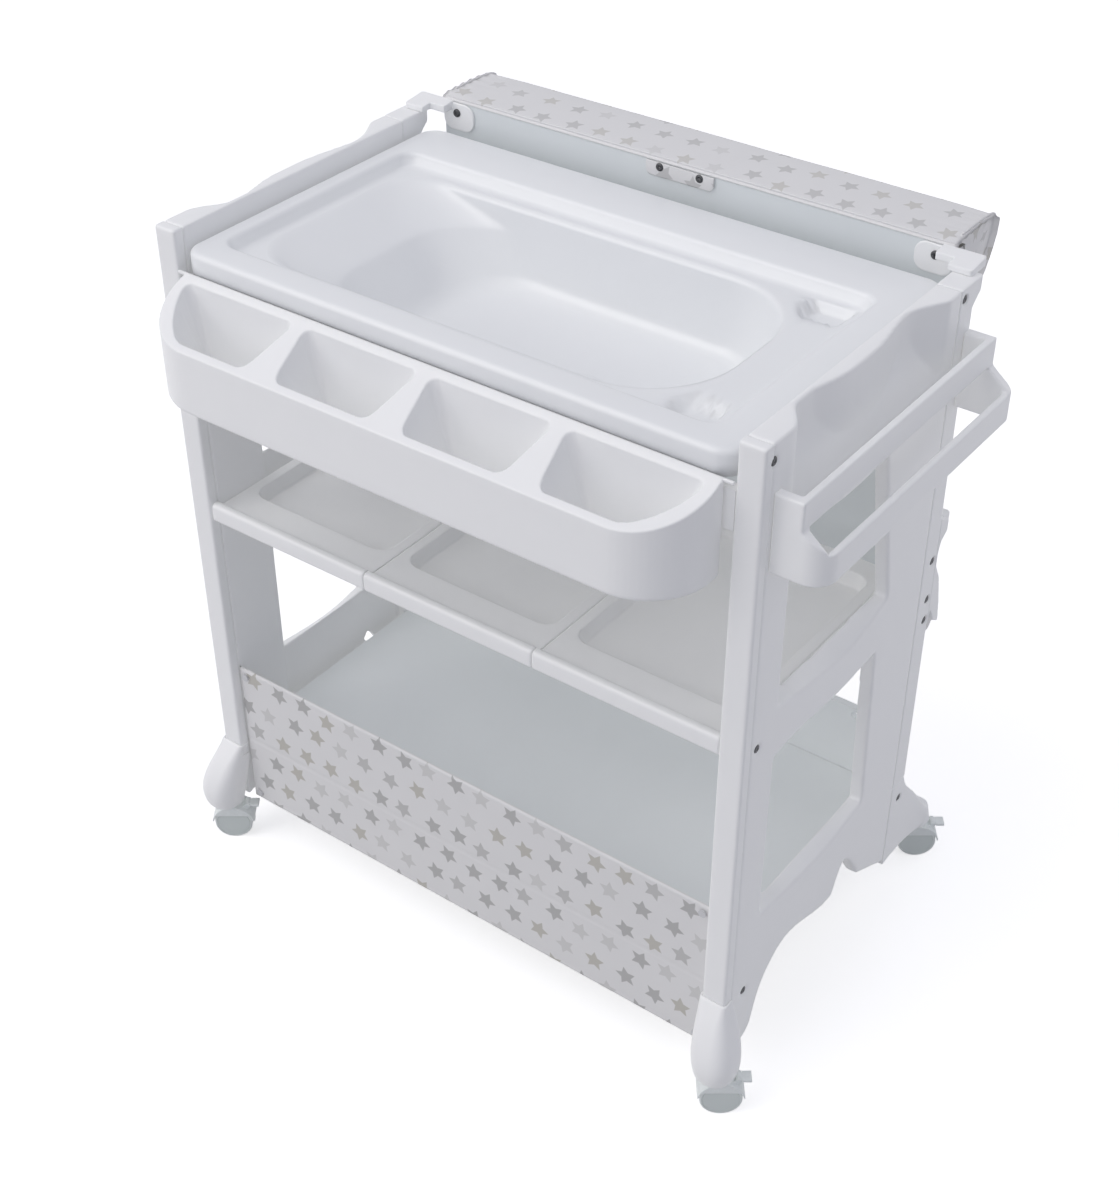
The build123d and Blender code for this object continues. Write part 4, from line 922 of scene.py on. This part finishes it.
def build_tray_rear():
    """The lip under the tub's rim, and the two hooks that carry the organiser on the cross rail."""
    sizes = settings().tray
    wall = sizes.hook_wall
    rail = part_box("front_cross_rail")[1]
    top = tray_top(POST_LOW.y, sizes) - sizes.lip_step
    front, rear = POST_LOW.y - sizes.lip_lap, TUB_LOW.y - 2 * CLEARANCE
    low = top - sizes.lip_wall
    between_posts = (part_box("front_post_left")[1].x + MM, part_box("front_post_right")[0].x - MM)
    tray_bar("organiser_rear_lip", [(front, low), (rear, low), (rear, top), (front, top)], between_posts,
             sizes.lip_rounding)
    start, under, back = POST_LOW.y - MM, rail.z + CLEARANCE, rail.y + CLEARANCE
    path = [(start, under), (start, under + wall), (back + wall, under + wall),
            (back + wall, rail.z - sizes.hook_drop), (back, rail.z - sizes.hook_drop), (back, under)]
    for name, side in zip(SIDES, (-1, 1)):
        x = (TRAY_LOW.x + TRAY_HIGH.x) / 2 + side * (TRAY_HIGH.x - TRAY_LOW.x) / 4
        tray_bar("organiser_hook_" + name, path, (x - sizes.hook_width / 2, x + sizes.hook_width / 2),
                 sizes.hook_rounding)


# Changing mat

def mat_outline(sizes, steps=14):
    """The mat's section as (y, z) points, going round it from the board's top edge."""
    fold = sizes.fold
    front, back = BOARD_LOW.y, BOARD_HIGH.y + CLEARANCE
    low, high = MAT_LOW.z + MM, MAT_HIGH.z
    board_top = high - sizes.board_cover + CLEARANCE
    flat, upper, lower = back + sizes.base, back + sizes.top_bolster, back + sizes.low_bolster
    reach = sizes.bolster_height
    knots = [
        (front, board_top), (front, high - fold * 0.5), (front + fold * 0.5, high - fold * 0.15),
        ((front + upper) / 2, high), (upper - fold, high - fold * 0.3), (upper, high - fold * 1.4),
        (upper - fold * 0.6, high - reach * 0.42), (upper - fold * 2.4, high - reach * 0.75),
        (flat + fold * 0.4, high - reach * 0.98), (flat, high - reach * 1.12),
        (flat + sizes.crown, (low + high) / 2), (flat, low + reach * 1.12),
        (flat + fold * 0.4, low + reach * 0.95), (lower - fold * 2, low + reach * 0.68),
        (lower - fold * 0.4, low + reach * 0.36), (lower, low + fold * 1.4),
        (lower - fold * 0.9, low + fold * 0.3), ((back + lower) / 2, low),
        (back + fold * 0.6, low + fold * 0.2), (back, low + fold * 0.8), (back, (low + high) / 2),
        (back, board_top),
    ]
    return smooth_line(knots, steps)


def smooth_line(knots, steps):
    """Points along a Catmull-Rom curve through the knots, closed by a straight last stretch."""
    points = []
    count = len(knots)
    for i in range(count - 1):
        a, b, c, d = (Vector(knots[(i + k) % count]) for k in (-1, 0, 1, 2))
        for s in range(steps):
            t = s / steps
            points.append(0.5 * ((2 * b) + (c - a) * t + (2 * a - 5 * b + 4 * c - d) * t * t
                                 + (3 * b - a - 3 * c + d) * t * t * t))
    points.append(Vector(knots[-1]))
    return points


def mat_rings(sizes, columns=150):
    """Where the mat's section is repeated along its length, and how full it is there."""
    x0, x1 = MAT_LOW.x, MAT_HIGH.x
    ends = [(sizes.end_rounding * (1 - math.sin(turn)), 1 - sizes.end_shrink * (1 - math.sin(turn)))
            for turn in quarter(6)[:-1]]
    straight = x1 - x0 - 2 * sizes.end_rounding
    rings = [(x0 + inset, full) for inset, full in ends]
    rings += [(x0 + sizes.end_rounding + straight * i / columns, 1.0) for i in range(columns + 1)]
    return rings + [(x1 - inset, full) for inset, full in reversed(ends)]


def mat_point(p, x, along, full, centre_z, sizes):
    """A point of the mat's section at a place along its length, with gathers and an uneven filling."""
    board = BOARD_HIGH.y
    y, z = p.x, p.y
    if p.x > board + sizes.board_seat or p.y > BOARD_HIGH.z + sizes.board_seat:
        core = max(board + CLEARANCE, min(p.x, board + sizes.base / 2))
        y = core + (p.x - core) * full
        away = Vector((y - core, z - centre_z))
        if away.length > WELD:
            away.normalize()
        from_seam = max(0.0, min(x - MAT_LOW.x, MAT_HIGH.x - x) - sizes.seam_inset)
        pull = sizes.end_pull * math.exp(-from_seam / sizes.gather_reach)
        wave = math.sin(2 * math.pi * along / sizes.gather_pitch + 1.7 * math.sin(along * 31))
        out = pull * (0.55 * wave - 0.6) + noise.noise(Vector((x * 9, along * 11, 2.0))) * sizes.swell
        y += away.x * out
        z += (p.y - centre_z) * (full - 1) * 0.12 + away.y * out * 0.6
        if p.y < BOARD_HIGH.z:
            y = max(y, board + CLEARANCE)
    return Vector((x, y, min(z, MAT_HIGH.z + sizes.end_crown)))


def close_mat_end(points, where, faces, ring, count, tip, sizes):
    """Close an end of the mat with rings that shrink towards a line inside it."""
    start = ring * count
    previous = list(range(start, start + count))
    margin = 3 * sizes.fold
    for level in (0.86, 0.62, 0.3):
        current = list(range(len(points), len(points) + count))
        for i in range(start, start + count):
            p = points[i]
            height = max(MAT_LOW.z + margin, min(p.z, MAT_HIGH.z - margin))
            q = p.lerp(Vector((tip, BOARD_HIGH.y + sizes.base * 0.45, height)), 1 - level)
            q.x = p.x + (tip - p.x) * min(1.0, (1 - level) * 1.6)
            points.append(q)
            where.append((where[i][0] + (q - p).length, where[i][1]))
        for i in range(count):
            j = (i + 1) % count
            quad = (previous[i], previous[j], current[j], current[i])
            faces.append(quad if ring else tuple(reversed(quad)))
        previous = current
    faces.append(tuple(previous) if ring else tuple(reversed(previous)))


def build_mat():
    """The mat: its section carried along its length, drawn in at the ends, with gathers at the end seams."""
    sizes = settings().mat
    outline = mat_outline(sizes)
    count = len(outline)
    centre_z = sum(p.y for p in outline) / count
    arc = [0.0]
    for a, b in zip(outline, outline[1:]):
        arc.append(arc[-1] + (b - a).length)
    rings = mat_rings(sizes)
    points, where = [], []
    for x, full in rings:
        points += [mat_point(p, x, along, full, centre_z, sizes) for p, along in zip(outline, arc)]
        where += [(x - MAT_LOW.x, along) for along in arc]
    faces = ring_faces(len(rings), count)
    close_mat_end(points, where, faces, 0, count, MAT_LOW.x - sizes.end_crown, sizes)
    close_mat_end(points, where, faces, len(rings) - 1, count, MAT_HIGH.x + sizes.end_crown, sizes)
    mesh = mesh_from("mat_cover", points, faces)
    lay_cloth(mesh, where)
    piece = new_piece("mat_cover", mesh, material(mat_oilcloth), "changer_pad")


def tube(name, path, radius, sides=8):
    """A thin round tube along points."""
    points = []
    for i, p in enumerate(path):
        along = (path[min(i + 1, len(path) - 1)] - path[max(i - 1, 0)]).normalized()
        side = along.cross(Vector((0.3, 0.2, 0.93))).normalized()
        up = along.cross(side)
        for s in range(sides):
            turn = 2 * math.pi * s / sides
            points.append(p + side * radius * math.cos(turn) + up * radius * math.sin(turn))
    return mesh_from(name, points, ring_faces(len(path), sides, True, True))


def build_piping():
    """Piping round the mat's two ends."""
    sizes = settings().mat
    outline = mat_outline(sizes, steps=8)
    for side, x in zip(SIDES, (MAT_LOW.x + sizes.seam_inset, MAT_HIGH.x - sizes.seam_inset)):
        path = [Vector((x, p.x, p.y)) for p in outline if p.x > BOARD_HIGH.y + MM]
        mesh = tube("mat_piping", path, sizes.piping)
        new_piece("mat_piping_" + side, mesh, material(plain_oilcloth), "changer_pad", replaces=False)


def build_tab():
    """The cover's flap, screwed down at the middle of the top edge, its lower corners rounded."""
    sizes = settings().mat
    low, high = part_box("changer_tab")
    width, height = high.x - low.x, high.z - low.z
    columns, rows = 60, 14
    points = []
    for r in range(rows + 1):
        v = r / rows
        for c in range(columns + 1):
            u = c / columns
            from_side = min(u, 1 - u) * width
            short = max(0.0, sizes.tab_corner - from_side)
            rounded = sizes.tab_corner - math.sqrt(sizes.tab_corner ** 2 - short ** 2)
            x, z = low.x + width * u, high.z - (height - rounded) * v
            bow = sizes.tab_sag * (1 - math.sin(math.pi * v))
            y = low.y + bow + sizes.tab_ripple * noise.noise(Vector((x * 40, z * 40, 5)))
            points.append(Vector((x, y, z)))
    mesh = mesh_from("mat_tab", points, grid_faces(columns, rows, turned=True))
    lay_cloth(mesh, [(p.x, p.z) for p in points])
    mesh = with_modifiers(mesh, ("SOLIDIFY", {"thickness": sizes.tab_cloth, "offset": 1}))
    piece = new_piece("mat_tab", mesh, material(mat_oilcloth), "changer_tab")


# Storage front

def cover_relief(x, height, from_edge, from_top, sizes):
    """How far the cloth stands out of the panel's face: ripples and puckers, less the seam and the hem."""
    from_seam = height - sizes.seam
    ripple = sizes.ripple * noise.noise(Vector((x * 14, (PANEL_LOW.z + height) * 9, 3)))
    pucker = sizes.pucker * math.sin(x * 2 * math.pi / sizes.pucker_pitch)
    pucker *= math.exp(-abs(from_seam) / sizes.pucker_reach)
    seam = sizes.seam_depth * math.exp(-(from_seam / sizes.seam_width) ** 2)
    hem = sizes.hem_depth * math.exp(-((from_top - sizes.hem) / sizes.hem_width) ** 2)
    return (ripple + pucker) * min(1.0, from_edge / sizes.flat_edge) - seam - hem


def build_front_cover():
    """The covered panel: a stiff core in cloth, with a hem, a seam across its middle and soft ripples."""
    sizes = settings().cover
    low, high = PANEL_LOW, PANEL_HIGH
    width, height, depth = high.x - low.x, high.z - low.z, high.y - low.y
    columns, rows = 220, 72
    points = []
    for side in (-1, 1):
        for r in range(rows + 1):
            z = height * r / rows
            for c in range(columns + 1):
                x = width * c / columns
                from_edge = min(x, width - x, z, height - z)
                turned = 1 - min(1.0, from_edge / sizes.edge_rounding)
                out = (depth / 2 - sizes.allowance) * math.sqrt(max(0.0, 1 - turned ** 2))
                if side < 0:
                    out += cover_relief(low.x + x, z, from_edge, height - z, sizes)
                points.append(Vector((low.x + x, (low.y + high.y) / 2 + side * out, low.z + z)))
    faces = grid_faces(columns, rows)
    faces += grid_faces(columns, rows, first=(columns + 1) * (rows + 1), turned=True)
    mesh = mesh_from("front_cover", points, faces)
    lay_cloth(mesh, [(p.x, p.z) for p in points])
    piece = new_piece("front_cover", welded(mesh, 2 * WELD), material(panel_oilcloth), "front_panel")


# Screws and studs

HEAD_PROFILE_SHARES = ((1.0, 0.0), (1.0, 0.45), (0.93, 0.75), (0.75, 0.93), (0.6, 1.0))
RECESS_PROFILE_SHARES = ((1.0, 1.0), (0.92, 0.5), (0.6, 0.3))


def screw_head(centre, axis, radius, height):
    """Points and faces of a pan head with a cross recess, facing along an axis."""
    turn = axis.to_track_quat("Z", "Y").to_matrix()
    sides = 32
    points = []
    for wide, tall in HEAD_PROFILE_SHARES + RECESS_PROFILE_SHARES:
        recess = len(points) >= sides * len(HEAD_PROFILE_SHARES)
        for s in range(sides):
            around = 2 * math.pi * s / sides
            lobe = 0.14 + 0.36 * math.cos(2 * around) ** 2 if recess else 1.0
            reach = radius * wide * lobe
            spot = Vector((reach * math.cos(around), reach * math.sin(around), height * tall))
            points.append(centre + turn @ spot)
    return points, ring_faces(len(points) // sides, sides, True, True)


def build_screws():
    """A cross-recessed head and shank for every screw."""
    directions = {
        "side_screws_left": Vector((-1, 0, 0)),
        "side_screws_right": Vector((1, 0, 0)),
        "back_panel_screws": Vector((0, 1, 0)),
        "changer_screws": Vector((0, -1, 0)),
    }
    height = settings().shell.screw_head
    for node, axis in directions.items():
        points, faces = [], []
        for low, high in islands(node):
            centre = (low + high) / 2
            half = (high - low) / 2
            radius = half.y if axis.x else half.x
            reach = abs(half.dot(axis))
            for part in ((centre + axis * (reach - height), axis, radius, height),
                         (centre - axis * reach, axis, radius * 0.4, 2 * reach - height)):
                part_points, part_faces = screw_head(*part)
                faces += [tuple(i + len(points) for i in face) for face in part_faces]
                points += part_points
        mesh = mesh_from(node + "_heads", points, faces)
        new_piece(node + "_heads", mesh, material(blackened_steel), node)


# Stage

def seen_directly(tree):
    """1 where the floor or backdrop is looked at, also in a reflection, and 0 where it only lights."""
    ray = add(tree, "ShaderNodeLightPath")
    mirrored = math_node(tree, "MAXIMUM", ray.outputs["Is Glossy Ray"], ray.outputs["Is Transmission Ray"])
    return math_node(tree, "MAXIMUM", ray.outputs["Is Camera Ray"], mirrored)


def studio_paper():
    """A roll of white paper: quite matt; its glow keeps it white to the eye while shadows stay on it."""
    base = settings().finish.floor
    paper, tree, shader = new_material("studio_paper", base, 0.9)
    shader.inputs["Specular IOR Level"].default_value = 0.0
    seen = seen_directly(tree)
    tint(tree, shader, seen, shade(base, 0.58), shade(base, 0.9))
    shader.inputs["Emission Color"].default_value = (1, 1, 1, 1)
    tree.links.new(math_node(tree, "MULTIPLY", seen, 0.42), shader.inputs["Emission Strength"])
    return paper


def build_floor():
    """A pale floor that keeps the shadow."""
    size = settings().stage.floor
    low = CAD_BOX[0][2]
    corners = [(-size, -size, low), (size, -size, low), (size, size, low), (-size, size, low)]
    mesh = mesh_from("studio_floor", corners, [(0, 1, 2, 3)], smooth=False)
    floor = show("studio_floor", mesh)
    mesh.materials.append(material(studio_paper))


def build_world():
    """A white backdrop that gives faint cool light."""
    world = bpy.data.worlds.new("studio")
    bpy.context.scene.world = world
    world.use_nodes = True
    tree = world.node_tree
    background = tree.nodes["Background"]
    seen = seen_directly(tree)
    tree.links.new(blend(tree, seen, (0.81, 0.84, 1.0), (1, 1, 1)), background.inputs["Color"])
    level = add(tree, "ShaderNodeMapRange", {"To Min": 0.4, "To Max": 1.0}, {"Value": seen})
    tree.links.new(level.outputs["Result"], background.inputs["Strength"])


def add_lamp(name, kind, power, place, direction):
    """A lamp of a kind and power at a place, pointing in a direction."""
    lamp = bpy.data.lights.new(name, kind)
    lamp.energy = power
    lamp.color = LAMP_COLOUR
    turned = Vector(direction).to_track_quat("-Z", "Y").to_matrix().to_4x4()
    show(name, lamp).matrix_world = Matrix.Translation(place) @ turned
    return lamp


def build_lamps():
    """Soft boxes above, in front and behind, and wide distant lamps."""
    # Each box: name, place, where it points, width, power.
    for name, place, target, width, power in (
            ("overhead_softbox", (-0.7, -0.3, 3.0), (0.0, 0.0, 0.6), 2.2, 7.0),
            ("front_softbox", (-1.8, -2.6, 1.5), (0.0, 0.0, 0.5), 1.8, 12.0),
            ("rear_softbox", (1.7, 2.6, 1.7), (0.0, 0.0, 0.6), 1.4, 10.0)):
        lamp = add_lamp(name, "AREA", power, place, Vector(target) - Vector(place))
        lamp.shape = "DISK"
        lamp.size = width
    # The fills cast no shadow: they reach between the shelves, as light does through thin white mouldings.
    for name, power, shadow, direction in (
            ("key", 0.32, True, (0.38, 0.6, -0.72)),
            ("fill", 0.9, False, (0.45, 0.6, -0.66)),
            ("side_fill", 0.4, False, (-0.75, 0.05, -0.66))):
        lamp = add_lamp(name, "SUN", power, (0, 0, 0), direction)
        lamp.angle = settings().stage.sun_width
        lamp.use_shadow = shadow


def build_camera():
    """The camera at the photograph's angle."""
    sizes = settings().stage
    view = bpy.data.cameras.new("camera")
    view.sensor_width = sizes.sensor
    view.lens = sizes.lens
    camera = show("camera", view)
    camera.location = (MID_X + sizes.camera_right, POST_LOW.y - sizes.camera_front, sizes.camera_height)
    camera.rotation_euler = (math.pi / 2 - sizes.look_down, 0, sizes.look_left)
    bpy.context.scene.camera = camera
    bpy.context.scene.view_settings.view_transform = "Standard"


# Operators

class TableOperator(bpy.types.Operator):
    """Builds part of the changing table."""
    bl_options = {"REGISTER", "UNDO"}


class BABYTABLE_OT_stage(TableOperator):
    """Set up the floor, the lamps and the camera."""
    bl_idname = "babytable.stage"
    bl_label = "Stage"

    def execute(self, context):
        build_floor()
        build_world()
        build_lamps()
        build_camera()
        return {"FINISHED"}


class BABYTABLE_OT_side_frames(TableOperator):
    """Dress the side panels, posts, guide plates and feet as soft-edged mouldings."""
    bl_idname = "babytable.side_frames"
    bl_label = "Side frames"

    def execute(self, context):
        plastic = material(moulded_polypropylene)
        for side in SIDES:
            soften_node("side_panel_" + side, "panel", plastic)
            for name in ("front_post_", "rear_post_", "front_foot_", "rear_foot_", "guide_plate_"):
                soften_node(name + side, "bar", plastic)
        return {"FINISHED"}


class BABYTABLE_OT_rails_and_boards(TableOperator):
    """Dress the cross rails, shelf rails and boards."""
    bl_idname = "babytable.rails_and_boards"
    bl_label = "Rails and boards"

    def execute(self, context):
        for node in ("front_cross_rail", "rear_cross_rail", "shelf_rail_front", "shelf_rail_rear"):
            dress(node, material(moulded_polypropylene))
        for node in ("floor_board", "back_panel"):
            dress(node, material(painted_hardboard, "painted_hardboard", settings().finish.board))
        return {"FINISHED"}


class BABYTABLE_OT_shelf(TableOperator):
    """Dress the trays of the middle shelf."""
    bl_idname = "babytable.shelf"
    bl_label = "Shelf trays"

    def execute(self, context):
        for place in ("left", "middle", "right"):
            soften_node("shelf_tray_" + place, "tray", material(moulded_polypropylene))
        return {"FINISHED"}


class BABYTABLE_OT_bathtub(TableOperator):
    """Model the tub, and dress its drain and plug."""
    bl_idname = "babytable.bathtub"
    bl_label = "Bathtub"

    def execute(self, context):
        build_tub()
        for node in ("drain_outlet", "drain_plug"):
            dress(node, material(polished_polypropylene))
        return {"FINISHED"}


class BABYTABLE_OT_organiser(TableOperator):
    """Model the organiser tray, its lip and its hooks."""
    bl_idname = "babytable.organiser"
    bl_label = "Organiser tray"

    def execute(self, context):
        build_organiser()
        build_tray_rear()
        return {"FINISHED"}


class BABYTABLE_OT_towel_rail(TableOperator):
    """Dress the towel rail as a soft-edged moulding."""
    bl_idname = "babytable.towel_rail"
    bl_label = "Towel rail"

    def execute(self, context):
        soften_node("towel_rail", "bar", material(moulded_polypropylene))
        return {"FINISHED"}


class BABYTABLE_OT_storage_front(TableOperator):
    """Model the cloth-covered panel and dress its studs."""
    bl_idname = "babytable.storage_front"
    bl_label = "Storage front"

    def execute(self, context):
        build_front_cover()
        dress("front_panel_studs", material(acetal_stud))
        return {"FINISHED"}


class BABYTABLE_OT_changing_top(TableOperator):
    """Model the mat with its piping and flap, and dress the board and its brackets."""
    bl_idname = "babytable.changing_top"
    bl_label = "Changing top"

    def execute(self, context):
        build_mat()
        build_piping()
        build_tab()
        board = material(painted_hardboard, "painted_changer_board", settings().finish.changer_board)
        dress("changer_board", board)
        for side in SIDES:
            for name in ("hanger_bracket_", "stay_bracket_"):
                soften_node(name + side, "castor", material(moulded_polypropylene))
        return {"FINISHED"}


class BABYTABLE_OT_castors(TableOperator):
    """Dress the four castors."""
    bl_idname = "babytable.castors"
    bl_label = "Castors"

    def execute(self, context):
        hood = material(glass_filled_nylon, "glass_filled_nylon", settings().finish.hood)
        for corner in CORNERS:
            soften_node("castor_body_" + corner, "castor", hood)
            soften_node("brake_lever_" + corner, "castor", hood)
            dress("castor_axle_" + corner, material(drawn_steel))
            wheel = castor_wheel_nylon(corner)
            dress("castor_wheel_near_" + corner, wheel)
            dress("castor_wheel_far_" + corner, wheel)
        return {"FINISHED"}


class BABYTABLE_OT_screws(TableOperator):
    """Model the screw heads."""
    bl_idname = "babytable.screws"
    bl_label = "Screws"

    def execute(self, context):
        build_screws()
        return {"FINISHED"}


OPERATORS = (
    BABYTABLE_OT_stage, BABYTABLE_OT_side_frames, BABYTABLE_OT_rails_and_boards, BABYTABLE_OT_shelf,
    BABYTABLE_OT_bathtub, BABYTABLE_OT_organiser, BABYTABLE_OT_towel_rail, BABYTABLE_OT_storage_front,
    BABYTABLE_OT_changing_top, BABYTABLE_OT_castors, BABYTABLE_OT_screws,
)


class BABYTABLE_PT_panel(bpy.types.Panel):
    """The steps and values of the changing table."""
    bl_idname = "BABYTABLE_PT_panel"
    bl_label = "Changing table"
    bl_space_type = "VIEW_3D"
    bl_region_type = "UI"
    bl_category = "Changing table"

    def draw(self, context):
        for operator in OPERATORS:
            self.layout.operator(operator.bl_idname)
        for group in TableSettings.__annotations__:
            box = self.layout.box()
            values = getattr(settings(), group)
            for name in values.__annotations__:
                box.prop(values, name)


CLASSES = (
    ShellSizes, TubSizes, TraySizes, MatSizes, CoverSizes, Finishes, StageSizes, TableSettings,
    *OPERATORS, BABYTABLE_PT_panel,
)


def register():
    """Register the values, the steps and the panel."""
    for cls in CLASSES:
        bpy.utils.register_class(cls)
    bpy.types.Scene.baby_table = PointerProperty(type=TableSettings)


def unregister():
    """Take them away again."""
    del bpy.types.Scene.baby_table
    for cls in reversed(CLASSES):
        bpy.utils.unregister_class(cls)


def main():
    """Build the whole table."""
    register()
    for operator in OPERATORS:
        name = operator.bl_idname.split(".")[1]
        getattr(bpy.ops.babytable, name)()


if __name__ == "__main__":
    main()
